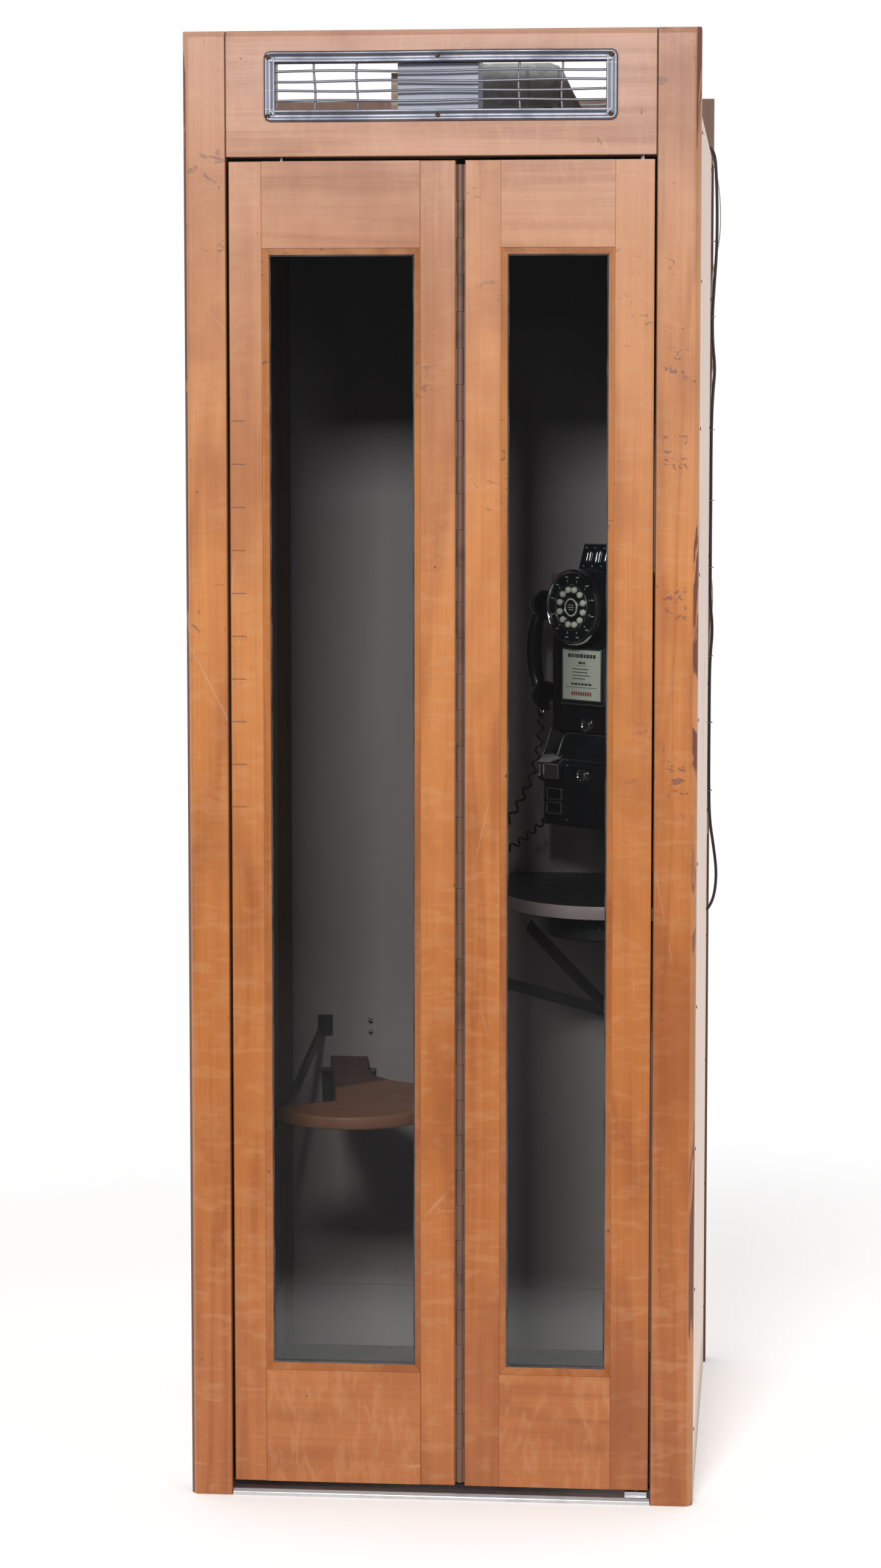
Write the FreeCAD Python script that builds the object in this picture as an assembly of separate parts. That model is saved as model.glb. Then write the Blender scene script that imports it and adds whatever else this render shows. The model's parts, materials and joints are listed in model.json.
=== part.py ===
import FreeCAD, Part
import math
import os

# Wooden telephone booth with a bifold door and a wall telephone inside.
# Millimetres. +Z is up, the door faces -Y, and the origin is at the middle of the base.

# overall sizes
HEIGHT = 2134.0
WIDTH = 740.0
DEPTH = 870.0

# front frame
STILE_WIDTH = 62.0
STILE_DEPTH = 45.0
HEADER_HEIGHT = 178.0
EDGE_EASE = 8.0

# sheet and board thicknesses
SIDE_THICKNESS = 18.0
LINING_THICKNESS = 2.0
FLOOR_THICKNESS = 14.0
CEILING_THICKNESS = 18.0
REAR_PANEL_THICKNESS = 12.0
SKIRTING_HEIGHT = 106.0
SKIRTING_THICKNESS = 8.0

# sides, roof space and back
SIDE_TOP_BELOW_TOP = 122.0
SIDE_JOINT_FROM_FRONT = 400.0
SIDE_JOINT_GAP = 2.0
CEILING_BELOW_TOP = 142.0
REAR_POST = 32.0
REAR_POST_STANDOUT = 3.5
REAR_POST_WIDTH = 45.0
REAR_TOP_BELOW_TOP = 28.0
REAR_RAIL_HEIGHT = 60.0
REAR_PANEL_LIFT = 50.0

# ventilation grille in the header
VENT_SIDE_MARGIN = 56.0
VENT_HEIGHT = 99.0
VENT_FLANGE = 16.0
VENT_BELOW_TOP = 30.0
VENT_PROUD = 2.0
VENT_SHEET = 1.6
VENT_WIRE_DIAMETER = 3.2
VENT_FIT = 0.5
VENT_ROW_COUNT = 4
# upright wires, as shares of half the window width
VENT_COLUMNS = (-0.763, -0.504, 0.475, 0.733)

# door leaves
DOOR_RECESS = 6.0
LEAF_THICKNESS = 30.0
DOOR_TOP_GAP = 6.0
DOOR_BOTTOM = 21.0
JAMB_GAP = 3.0
TOP_RAIL = 123.0
BOTTOM_RAIL = 168.0
HINGE_X = 28.3
LEAF_TO_HINGE = 7.0
LEAD_OUTER_STILE = 47.5
LEAD_INNER_STILE = 51.0
JAMB_INNER_STILE = 51.0
JAMB_OUTER_STILE = 56.0
BEAD_WIDTH = 9.0
GLASS_THICKNESS = 4.0
GLASS_CLEARANCE = 1.0

# leaf hinge and door hardware
KNUCKLE_DIAMETER = 10.0
KNUCKLE_COUNT = 37
KNUCKLE_GAP = 0.4
HINGE_PLATE = 1.5
HINGE_END_MARGIN = 6.0
HINGE_PIN_DIAMETER = 5.0
RUNNING_CLEARANCE = 0.05
PIVOT_PIN_DIAMETER = 8.0
PIVOT_FROM_EDGE = 18.0
GUIDE_PIN_DIAMETER = 6.0
ROLLER_DIAMETER = 14.0
ROLLER_HEIGHT = 10.0
TRACK_WIDTH = 20.0
TRACK_HEIGHT = 24.0
TRACK_WALL = 1.5

# threshold
THRESHOLD_HEIGHT = 10.0
THRESHOLD_DEPTH = 60.0

# seat
SEAT_TOP = 512.0
SEAT_THICKNESS = 20.0
SEAT_TONGUE_WIDTH = 64.0
SEAT_TONGUE_FROM_LEFT = 118.0
STAY_SIZE = 14.0

# shelf
SHELF_TOP = 829.0
SHELF_THICKNESS = 22.0
SHELF_WIDTH = 308.0
SHELF_DEPTH = 437.0
SHELF_ROUND_FROM_RIGHT = 130.0
SHELF_ROUND_DEPTH = 227.0
TRAY_HEIGHT = 42.0
TRAY_INSET = 46.0
BRACE_WIDTH = 18.0
BRACE_THICKNESS = 4.0
FIT_GAP = 0.5

# telephone; its own frame has X to the right, -Y towards the user and the origin on the board
PHONE_FROM_RIGHT_WALL = 93.0
PHONE_FROM_REAR_WALL = 148.0
PHONE_TURN = -45.0
PHONE_BOTTOM = 930.0
LOWER_HEIGHT = 154.0
LOWER_WIDTH = 186.0
LOWER_PROUD = 122.0
LEDGE_RISE = 46.0
UPPER_WIDTH = 164.0
UPPER_PROUD = 112.0
UPPER_TOP = 1344.0
UPPER_ROUND = 66.0
DIAL_Z = 1285.6
DIAL_RADIUS = 58.0
PLAQUE_LEFT = -50.0
PLAQUE_RIGHT = 52.0
PLAQUE_BOTTOM = 1130.0
PLAQUE_TOP = 1221.0
PLAQUE_PROUD = 119.5
DIAL_PROUD = 144.0
BUTTON_RING = 28.5
BUTTON_DIAMETER = 10.4
BUTTON_STANDOUT = 6.0
BUTTON_CLEARANCE = 0.3
COIN_HEAD_WIDTH = 86.0
COIN_HEAD_TOP_WIDTH = 80.0
COIN_HEAD_HEIGHT = 40.0
COIN_HEAD_PROUD = 90.0
VAULT_LEFT = -33.0
VAULT_WIDTH = 121.0
VAULT_HEIGHT = 104.0
VAULT_DOOR_THICKNESS = 9.0
VAULT_CLEARANCE = 0.5
LOCK_RADIUS = 9.0
LOCK_CLEARANCE = 0.1
LOCK_LENGTH = 12.0
UPPER_LOCK_X = 3.0
UPPER_LOCK_Z = 1095.0
VAULT_LOCK_X = 7.0
VAULT_LOCK_Z = 1015.0
RETURN_WIDTH = 52.0
RETURN_HEIGHT = 50.0
RETURN_Z = 1022.0
RETURN_STANDOUT = 16.0
HANDSET_X = -124.0
HANDSET_Y = -104.0
HANDSET_TOP = 1308.0
HANDSET_LENGTH = 196.0
HOOK_Z = 1126.0
HOOK_FROM_FACE = 32.0
BOARD_THICKNESS = 18.0
BOARD_TOP = 1330.0

# roof fittings
LAMP_BOX = (115.0, 60.0, 108.0)
LAMP_X = -4.6
LAMP_BEHIND_HEADER = 2.0
LAMP_NOSE_FROM_FRONT = 16.0
LAMP_LENS_RADIUS = 48.0
LAMP_LENS_DEPTH = 12.0
FAN_BOX = (118.0, 150.0, 112.0)
FAN_X = 96.0
FAN_FROM_FRONT = 200.0
FAN_WALL = 1.5
ROTOR_RADIUS = 46.0
ROTOR_BLADES = 5
CABLE_DIAMETER = 5.0
CORD_DIAMETER = 10.0

# values worked out from the sizes above
FRONT = -DEPTH / 2.0
BACK = DEPTH / 2.0
HALF = WIDTH / 2.0
OPENING_HALF = HALF - STILE_WIDTH
VENT_WIDTH = 2.0 * (OPENING_HALF - VENT_SIDE_MARGIN)
HEADER_BOTTOM = HEIGHT - HEADER_HEIGHT
SIDE_TOP = HEIGHT - SIDE_TOP_BELOW_TOP
CEILING_TOP = HEIGHT - CEILING_BELOW_TOP
CEILING_BOTTOM = CEILING_TOP - CEILING_THICKNESS
REAR_TOP = HEIGHT - REAR_TOP_BELOW_TOP
INNER_HALF = HALF - SIDE_THICKNESS - LINING_THICKNESS
REAR_PANEL_BACK = BACK - 6.0
REAR_PANEL_FRONT = REAR_PANEL_BACK - REAR_PANEL_THICKNESS
INNER_BACK = REAR_PANEL_FRONT - LINING_THICKNESS
PHONE_X = INNER_HALF - PHONE_FROM_RIGHT_WALL
PHONE_Y = INNER_BACK - PHONE_FROM_REAR_WALL
LEAF_FRONT = FRONT + DOOR_RECESS
LEAF_BACK = LEAF_FRONT + LEAF_THICKNESS
LEAF_TOP = HEADER_BOTTOM - DOOR_TOP_GAP
LEAF_MIDDLE = LEAF_FRONT + LEAF_THICKNESS / 2.0
HINGE_Y = FRONT + KNUCKLE_DIAMETER / 2.0
LEAD_LEFT = -OPENING_HALF + JAMB_GAP
LEAD_RIGHT = HINGE_X - LEAF_TO_HINGE
JAMB_LEFT = HINGE_X + LEAF_TO_HINGE
JAMB_RIGHT = OPENING_HALF - JAMB_GAP
PIVOT_X = JAMB_RIGHT - PIVOT_FROM_EDGE
GUIDE_X = 2.0 * HINGE_X - PIVOT_X
V = FreeCAD.Vector

os.makedirs("parts", exist_ok=True)


def save(name, shapes):
    """Write one node; a list of solids becomes one compound."""
    solids = shapes if isinstance(shapes, list) else [shapes]
    shape = solids[0] if len(solids) == 1 else Part.makeCompound(solids)
    shape.exportStep("parts/" + name + ".step")


def box(x0, x1, y0, y1, z0, z1):
    return Part.makeBox(x1 - x0, y1 - y0, z1 - z0, V(x0, y0, z0))


def cylinder(radius, height, base, axis=V(0, 0, 1)):
    return Part.makeCylinder(radius, height, base, axis)


def prism(points, direction):
    """Extrude a closed flat outline."""
    return Part.Face(Part.makePolygon(points + [points[0]])).extrude(direction)


def easedBox(x0, x1, y0, y1, z0, z1, radius, chooser):
    """A box with the edges that chooser picks rounded."""
    solid = box(x0, x1, y0, y1, z0, z1)
    edges = [edge for edge in solid.Edges if chooser(edge)]
    limit = 0.45 * min(x1 - x0, y1 - y0, z1 - z0)
    return solid.makeFillet(min(radius, limit), edges)


def runsAlong(edge, axis):
    start, end = (vertex.Point for vertex in edge.Vertexes)
    return abs((end - start).normalize().dot(axis)) > 0.99


def roundedRoute(points):
    """Straight runs joined by tangent arcs, each as large as its two runs allow."""
    corners = [V(*point) for point in points]
    edges = []
    here = corners[0]
    radii = []
    for before, corner, after in zip(corners, corners[1:], corners[2:]):
        into = (corner - before)
        out = (after - corner)
        shorter = min(into.Length, out.Length)
        into.normalize()
        out.normalize()
        halfTurn = math.acos(max(-1.0, min(1.0, into.dot(out)))) / 2.0
        setback = 0.45 * shorter
        radii.append(round(setback / math.tan(halfTurn), 1))
        start = corner - into * setback
        end = corner + out * setback
        bisector = (out - into).normalize()
        radius = setback / math.tan(halfTurn)
        centre = corner + bisector * (radius / math.cos(halfTurn))
        middle = centre - bisector * radius
        edges.append(Part.LineSegment(here, start).toShape())
        edges.append(Part.Arc(start, middle, end).toShape())
        here = end
    edges.append(Part.LineSegment(here, corners[-1]).toShape())
    return Part.Wire(edges), radii


def tube(points, diameter, name):
    """A round bar along a rounded route, with its volume checked against its length."""
    wire, radii = roundedRoute(points)
    direction = V(*points[1]) - V(*points[0])
    ring = Part.Wire(Part.makeCircle(diameter / 2.0, V(*points[0]), direction))
    solid = wire.makePipeShell([ring], True, True)
    expected = math.pi * diameter * diameter / 4.0 * wire.Length
    print(name, "length", round(wire.Length, 1), "radii", radii, "volume ratio", round(solid.Volume / expected, 4))
    return solid


def inPhone(shape):
    """Turn a shape from the telephone's own frame into the booth's."""
    turn = FreeCAD.Rotation(V(0, 0, 1), PHONE_TURN)
    place = FreeCAD.Placement(V(PHONE_X, PHONE_Y, 0), turn)
    moved = shape.copy()
    moved.Placement = place.multiply(moved.Placement)
    return moved


def frontFrame():
    stiles = []
    for side in (-1, 1):
        inner = side * OPENING_HALF
        outer = side * HALF
        solid = box(min(inner, outer), max(inner, outer), FRONT, FRONT + STILE_DEPTH, 0, HEIGHT)
        outerEdges = []
        for edge in solid.Edges:
            middle = edge.CenterOfMass
            onFace = abs(middle.y - FRONT) < 0.1
            if onFace and (abs(middle.x - outer) < 0.1 or abs(middle.z - HEIGHT) < 0.1):
                outerEdges.append(edge)
        stiles.append(solid.makeChamfer(EDGE_EASE, outerEdges))
    save("front_stiles", stiles)
    beam = box(-OPENING_HALF, OPENING_HALF, FRONT, FRONT + STILE_DEPTH, HEADER_BOTTOM, HEIGHT)
    topEdge = [edge for edge in beam.Edges
               if abs(edge.CenterOfMass.y - FRONT) < 0.1 and abs(edge.CenterOfMass.z - HEIGHT) < 0.1]
    beam = beam.makeChamfer(EDGE_EASE, topEdge)
    margin = VENT_FLANGE - VENT_SHEET - VENT_FIT
    hole = VENT_WIDTH / 2.0 - margin
    top = HEIGHT - VENT_BELOW_TOP - margin
    bottom = HEIGHT - VENT_BELOW_TOP - VENT_HEIGHT + margin
    beam = beam.cut(box(-hole, hole, FRONT - 1, FRONT + STILE_DEPTH + 1, bottom, top))
    middle = LEAF_MIDDLE
    groove = box(-OPENING_HALF - 1, OPENING_HALF + 1, middle - TRACK_WIDTH / 2, middle + TRACK_WIDTH / 2,
                 HEADER_BOTTOM - 1, HEADER_BOTTOM + TRACK_HEIGHT)
    save("header", beam.cut(groove))


def ventGrille():
    half = VENT_WIDTH / 2.0
    top = HEIGHT - VENT_BELOW_TOP
    bottom = top - VENT_HEIGHT
    low = bottom + VENT_FLANGE
    high = top - VENT_FLANGE
    lip = VENT_PROUD + 6.0
    face = FRONT - VENT_PROUD
    inner = half - VENT_FLANGE
    window = box(-inner, inner, face - 1, face + lip + 1, low, high)
    sheet = box(-half, half, face, face + VENT_SHEET, bottom, top)
    collar = box(-inner - VENT_SHEET, inner + VENT_SHEET, face, face + lip, low - VENT_SHEET, high + VENT_SHEET)
    rim = box(-half, half, face, FRONT, bottom, top)
    rimHole = box(-half + VENT_SHEET, half - VENT_SHEET, face - 1, FRONT + 1, bottom + VENT_SHEET, top - VENT_SHEET)
    frame = sheet.fuse(rim.cut(rimHole)).fuse(collar).cut(window).removeSplitter()
    radius = VENT_WIRE_DIAMETER / 2.0
    wires = []
    for row in range(VENT_ROW_COUNT):
        z = low + (high - low) * (row + 0.9) / (VENT_ROW_COUNT + 0.8)
        wires.append(cylinder(radius, 2 * inner, V(-inner, FRONT + radius + 0.4, z), V(1, 0, 0)))
    for share in VENT_COLUMNS:
        wires.append(cylinder(radius, high - low, V(share * inner, FRONT + 3 * radius + 0.5, low)))
    save("vent_grille", [frame] + wires)


def bodyShell():
    sides = []
    joint = FRONT + SIDE_JOINT_FROM_FRONT
    behindStile = FRONT + STILE_DEPTH
    rearStart = BACK - REAR_POST
    for side in (-1, 1):
        x0 = min(side * HALF, side * (HALF - SIDE_THICKNESS))
        x1 = x0 + SIDE_THICKNESS
        sides.append(box(x0, x1, behindStile, joint - SIDE_JOINT_GAP / 2, 0, SIDE_TOP))
        sides.append(box(x0, x1, joint + SIDE_JOINT_GAP / 2, rearStart, 0, SIDE_TOP))
    save("side_panels", sides)
    posts = []
    outer = HALF + REAR_POST_STANDOUT
    for side in (-1, 1):
        x0 = min(side * outer, side * (outer - REAR_POST_WIDTH))
        posts.append(box(x0, x0 + REAR_POST_WIDTH, rearStart, BACK, 0, REAR_TOP))
    between = outer - REAR_POST_WIDTH
    topRail = box(-between, between, rearStart, REAR_PANEL_FRONT, REAR_TOP - REAR_RAIL_HEIGHT, REAR_TOP)
    bottomRail = box(-between, between, REAR_PANEL_FRONT, REAR_PANEL_BACK, 0, REAR_PANEL_LIFT - 2.0)
    save("rear_frame", posts + [topRail, bottomRail])
    panel = box(-between, between, REAR_PANEL_FRONT, REAR_PANEL_BACK, REAR_PANEL_LIFT, REAR_TOP)
    save("rear_panel", panel)
    floor = box(-HALF + SIDE_THICKNESS, HALF - SIDE_THICKNESS, FRONT + THRESHOLD_DEPTH, rearStart, 0, FLOOR_THICKNESS)
    save("floor_board", floor)
    ceiling = box(-HALF + SIDE_THICKNESS, HALF - SIDE_THICKNESS, behindStile, rearStart,
                  CEILING_BOTTOM, CEILING_TOP)
    fanHole = box(FAN_X - FAN_BOX[0] / 2 + 8, FAN_X + FAN_BOX[0] / 2 - 8, FRONT + FAN_FROM_FRONT + 8,
                  FRONT + FAN_FROM_FRONT + FAN_BOX[1] - 8, CEILING_BOTTOM - 1, CEILING_TOP + 1)
    save("ceiling_board", ceiling.cut(fanHole))


def wallLining():
    base = FLOOR_THICKNESS
    behindStile = FRONT + STILE_DEPTH
    wall = HALF - SIDE_THICKNESS
    rearStart = BACK - REAR_POST
    rearHalf = HALF + REAR_POST_STANDOUT - REAR_POST_WIDTH
    sheets = []
    boards = []
    skirtingTop = base + SKIRTING_HEIGHT
    for side in (-1, 1):
        x0 = min(side * wall, side * INNER_HALF)
        sheets.append(box(x0, x0 + LINING_THICKNESS, behindStile, rearStart, base, CEILING_BOTTOM))
        inner = side * (INNER_HALF - SKIRTING_THICKNESS)
        outer = side * INNER_HALF
        boards.append(box(min(inner, outer), max(inner, outer), FRONT + THRESHOLD_DEPTH, rearStart,
                          base, skirtingTop))
    sheets.append(box(-rearHalf, rearHalf, INNER_BACK, REAR_PANEL_FRONT, base, CEILING_BOTTOM))
    boards.append(box(-rearHalf, rearHalf, INNER_BACK - SKIRTING_THICKNESS, INNER_BACK, base, skirtingTop))
    save("wall_lining", sheets + boards)


def threshold():
    depth = THRESHOLD_DEPTH
    outline = [V(-OPENING_HALF, FRONT, 0), V(-OPENING_HALF, FRONT + depth, 0),
               V(-OPENING_HALF, FRONT + depth, THRESHOLD_HEIGHT),
               V(-OPENING_HALF, FRONT + 5, THRESHOLD_HEIGHT), V(-OPENING_HALF, FRONT, THRESHOLD_HEIGHT - 5)]
    save("threshold", prism(outline, V(2 * OPENING_HALF, 0, 0)))


def leafFrame(name, left, right, leftStile, rightStile, pins):
    """Stiles, rails, glazing beads and glass of one door leaf, drilled for its pins."""
    opening = (left + leftStile, right - rightStile, DOOR_BOTTOM + BOTTOM_RAIL, LEAF_TOP - TOP_RAIL)
    x0, x1, z0, z1 = opening
    stiles = [box(left, x0, LEAF_FRONT, LEAF_BACK, DOOR_BOTTOM, LEAF_TOP),
              box(x1, right, LEAF_FRONT, LEAF_BACK, DOOR_BOTTOM, LEAF_TOP)]
    rails = [box(x0, x1, LEAF_FRONT, LEAF_BACK, DOOR_BOTTOM, z0),
             box(x0, x1, LEAF_FRONT, LEAF_BACK, z1, LEAF_TOP)]
    save(name + "_rails", [rail.cut(pins) for rail in rails])
    glassFront = LEAF_MIDDLE - GLASS_THICKNESS / 2.0
    glassBack = LEAF_MIDDLE + GLASS_THICKNESS / 2.0
    fit = GLASS_CLEARANCE
    save(name + "_glass", box(x0 + fit, x1 - fit, glassFront, glassBack, z0 + fit, z1 - fit))
    beads = []
    for face, glass in ((LEAF_FRONT, glassFront), (LEAF_BACK, glassBack)):
        beads += beadSet(opening, face, glass)
    save(name + "_beads", beads)
    return [stile.cut(pins) for stile in stiles]


def beadSet(opening, face, glass):
    """Four mitred beads between one face of the leaf and the glass."""
    x0, x1, z0, z1 = opening
    w = BEAD_WIDTH
    toward = 1.0 if glass > face else -1.0
    outerY = face + toward * 1.2
    nose = glass - toward * 3.0
    corners = ((x0, z0, 1, 1), (x1, z0, -1, 1), (x1, z1, -1, -1), (x0, z1, 1, -1))
    result = []
    for index, corner in enumerate(corners):
        following = corners[(index + 1) % 4]
        section = []
        for cx, cz, sx, sz in (corner, following):
            section.append([V(cx, outerY, cz), V(cx, glass, cz),
                            V(cx + sx * w, glass, cz + sz * w), V(cx + sx * w, nose, cz + sz * w)])
        wires = [Part.makePolygon(points + [points[0]]) for points in section]
        result.append(Part.makeLoft(wires, True, True))
    return result


def doorLeaves():
    outerStile, innerStile = leafFrame("lead_leaf", LEAD_LEFT, LEAD_RIGHT, LEAD_OUTER_STILE, LEAD_INNER_STILE,
                                       [guidePin()])
    rearEdge = [edge for edge in outerStile.Edges
                if abs(edge.CenterOfMass.x - LEAD_LEFT) < 0.1 and abs(edge.CenterOfMass.y - LEAF_BACK) < 0.1]
    outerStile = outerStile.makeChamfer(3.0, rearEdge)
    save("lead_leaf_stiles", [outerStile, innerStile])
    inner, outer = leafFrame("jamb_leaf", JAMB_LEFT, JAMB_RIGHT, JAMB_INNER_STILE, JAMB_OUTER_STILE, pivotPins())
    reach = PIVOT_FROM_EDGE + JAMB_GAP / 2.0
    swing = cylinder(reach, LEAF_TOP - DOOR_BOTTOM + 2, V(PIVOT_X, LEAF_MIDDLE, DOOR_BOTTOM - 1))
    corner = box(PIVOT_X, PIVOT_X + 60, LEAF_MIDDLE, LEAF_MIDDLE + 60, DOOR_BOTTOM - 1, LEAF_TOP + 1)
    save("jamb_leaf_stiles", [inner, outer.cut(corner.cut(swing))])


def pivotPins():
    """Top and bottom pivot pins, let into the jamb leaf."""
    radius = PIVOT_PIN_DIAMETER / 2.0
    return [cylinder(radius, 34.0, V(PIVOT_X, LEAF_MIDDLE, LEAF_TOP - 20.0)),
            cylinder(radius, 24.0, V(PIVOT_X, LEAF_MIDDLE, THRESHOLD_HEIGHT + 1.0))]


def guidePin():
    """The pin that carries the roller in the track, let into the top of the leading leaf."""
    return cylinder(GUIDE_PIN_DIAMETER / 2.0, 38.0, V(GUIDE_X, LEAF_MIDDLE, LEAF_TOP - 20.0))


def leafHinge():
    """Piano hinge: knuckles belong to the two leaves in turn, on one pin."""
    z0 = DOOR_BOTTOM + HINGE_END_MARGIN
    z1 = LEAF_TOP - HINGE_END_MARGIN
    pitch = (z1 - z0) / KNUCKLE_COUNT
    radius = KNUCKLE_DIAMETER / 2.0
    bore = HINGE_PIN_DIAMETER / 2.0 + RUNNING_CLEARANCE
    plateBack = LEAF_BACK - 3.0
    halves = {-1: [], 1: []}
    for side in (-1, 1):
        edge = HINGE_X + side * LEAF_TO_HINGE
        near = edge - side * HINGE_PLATE
        halves[side].append(box(min(edge, near), max(edge, near), HINGE_Y, plateBack, z0, z1))
    for index in range(KNUCKLE_COUNT):
        side = 1 if index % 2 == 0 else -1
        low = z0 + index * pitch + KNUCKLE_GAP / 2.0
        length = pitch - KNUCKLE_GAP
        knuckle = cylinder(radius, length, V(HINGE_X, HINGE_Y, low))
        edge = HINGE_X + side * (LEAF_TO_HINGE - HINGE_PLATE / 2.0)
        web = box(min(HINGE_X, edge), max(HINGE_X, edge), HINGE_Y, HINGE_Y + HINGE_PLATE, low, low + length)
        knuckle = knuckle.fuse(web)
        halves[side].append(knuckle.cut(cylinder(bore, length + 2, V(HINGE_X, HINGE_Y, low - 1))))
    pin = cylinder(HINGE_PIN_DIAMETER / 2.0, z1 - z0, V(HINGE_X, HINGE_Y, z0))
    save("hinge_jamb_half", halves[1][0].multiFuse(halves[1][1:]))
    save("hinge_lead_half", [halves[-1][0].multiFuse(halves[-1][1:]), pin])


def doorHardware():
    pin = PIVOT_PIN_DIAMETER / 2.0
    middle = LEAF_MIDDLE
    topPlate = HEADER_BOTTOM + 3.0
    save("pivot_pins", pivotPins())
    bore = pin + RUNNING_CLEARANCE
    half = TRACK_WIDTH / 2.0 - TRACK_WALL - 0.3
    topBlock = box(PIVOT_X - 14, PIVOT_X + 14, middle - half, middle + half, topPlate, topPlate + 14)
    topBlock = topBlock.cut(cylinder(bore, 30, V(PIVOT_X, middle, topPlate - 5)))
    bottomBlock = box(PIVOT_X - 16, PIVOT_X + 16, middle - 11, middle + 11, THRESHOLD_HEIGHT, THRESHOLD_HEIGHT + 7)
    bottomBlock = bottomBlock.cut(cylinder(bore, 20, V(PIVOT_X, middle, THRESHOLD_HEIGHT - 1)))
    save("pivot_brackets", [topBlock, bottomBlock])
    outer = box(-OPENING_HALF + 1, OPENING_HALF - 1, middle - TRACK_WIDTH / 2, middle + TRACK_WIDTH / 2,
                HEADER_BOTTOM, HEADER_BOTTOM + TRACK_HEIGHT)
    channel = box(-OPENING_HALF, OPENING_HALF, middle - TRACK_WIDTH / 2 + TRACK_WALL,
                  middle + TRACK_WIDTH / 2 - TRACK_WALL, HEADER_BOTTOM - 1, HEADER_BOTTOM + TRACK_HEIGHT - TRACK_WALL)
    save("door_track", outer.cut(channel))
    save("guide_pin", guidePin())
    rollerBottom = HEADER_BOTTOM + 4.0
    roller = cylinder(ROLLER_DIAMETER / 2.0, ROLLER_HEIGHT, V(GUIDE_X, middle, rollerBottom))
    hole = cylinder(GUIDE_PIN_DIAMETER / 2.0 + RUNNING_CLEARANCE, ROLLER_HEIGHT + 2,
                    V(GUIDE_X, middle, rollerBottom - 1))
    save("guide_roller", roller.cut(hole))


def roofFittings():
    width, depth, height = LAMP_BOX
    front = FRONT + STILE_DEPTH + LAMP_BEHIND_HEADER
    upright = lambda edge: runsAlong(edge, V(0, 0, 1))
    lamp = easedBox(LAMP_X - width / 2, LAMP_X + width / 2, front, front + depth,
                    CEILING_TOP, CEILING_TOP + height, 4.0, upright)
    windowTop = HEIGHT - VENT_BELOW_TOP - VENT_FLANGE
    windowBottom = HEIGHT - VENT_BELOW_TOP - VENT_HEIGHT + VENT_FLANGE
    nose = box(LAMP_X - width / 2, LAMP_X + width / 2, FRONT + LAMP_NOSE_FROM_FRONT, front + 6,
               windowBottom + VENT_FIT, windowTop - VENT_FIT)
    save("lamp_housing", lamp.fuse(nose).removeSplitter())
    lens = cylinder(LAMP_LENS_RADIUS, LAMP_LENS_DEPTH,
                    V(LAMP_X, front + depth / 2 + LAMP_LENS_RADIUS / 2, CEILING_BOTTOM - LAMP_LENS_DEPTH))
    rim = [edge for edge in lens.Edges if abs(edge.CenterOfMass.z - (CEILING_BOTTOM - LAMP_LENS_DEPTH)) < 0.1]
    save("lamp_lens", lens.makeFillet(6.0, rim[:1]))
    width, depth, height = FAN_BOX
    x0 = FAN_X - width / 2
    y0 = FRONT + FAN_FROM_FRONT
    along = lambda edge: runsAlong(edge, V(0, 1, 0)) and edge.CenterOfMass.z > CEILING_TOP + 1
    shell = easedBox(x0, x0 + width, y0, y0 + depth, CEILING_TOP, CEILING_TOP + height, 12.0, along)
    hollow = box(x0 + FAN_WALL, x0 + width - FAN_WALL, y0 + FAN_WALL, y0 + depth - FAN_WALL,
                 CEILING_TOP - 1, CEILING_TOP + height - 14.0)
    middle = V(FAN_X, y0 + depth / 2, CEILING_TOP)
    outlet = cylinder(ROTOR_RADIUS, FAN_WALL + 20, V(FAN_X, y0 + depth - FAN_WALL - 1, CEILING_TOP + height / 2),
                      V(0, 1, 0))
    shell = shell.cut(hollow).cut(outlet)
    motor = cylinder(16.0, 34.0, middle + V(0, 0, 52.0))
    bracket = box(x0 + FAN_WALL, x0 + width - FAN_WALL, middle.y - 6, middle.y + 6,
                  CEILING_TOP + 86.0, CEILING_TOP + height - 14.0)
    save("fan_housing", [shell, motor.fuse(bracket)])
    shaftTop = CEILING_TOP + 51.5
    hub = cylinder(11.0, 24.0, V(middle.x, middle.y, shaftTop - 24.0))
    blades = []
    for index in range(ROTOR_BLADES):
        blade = Part.makeBox(ROTOR_RADIUS - 10.0, 16.0, 1.6, V(8.0, -8.0, 0))
        blade.rotate(V(0, 0, 0), V(1, 0, 0), 28.0)
        blade.rotate(V(0, 0, 0), V(0, 0, 1), 360.0 * index / ROTOR_BLADES)
        blade.translate(V(middle.x, middle.y, shaftTop - 13.0))
        blades.append(blade)
    save("fan_rotor", hub.multiFuse(blades))


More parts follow.
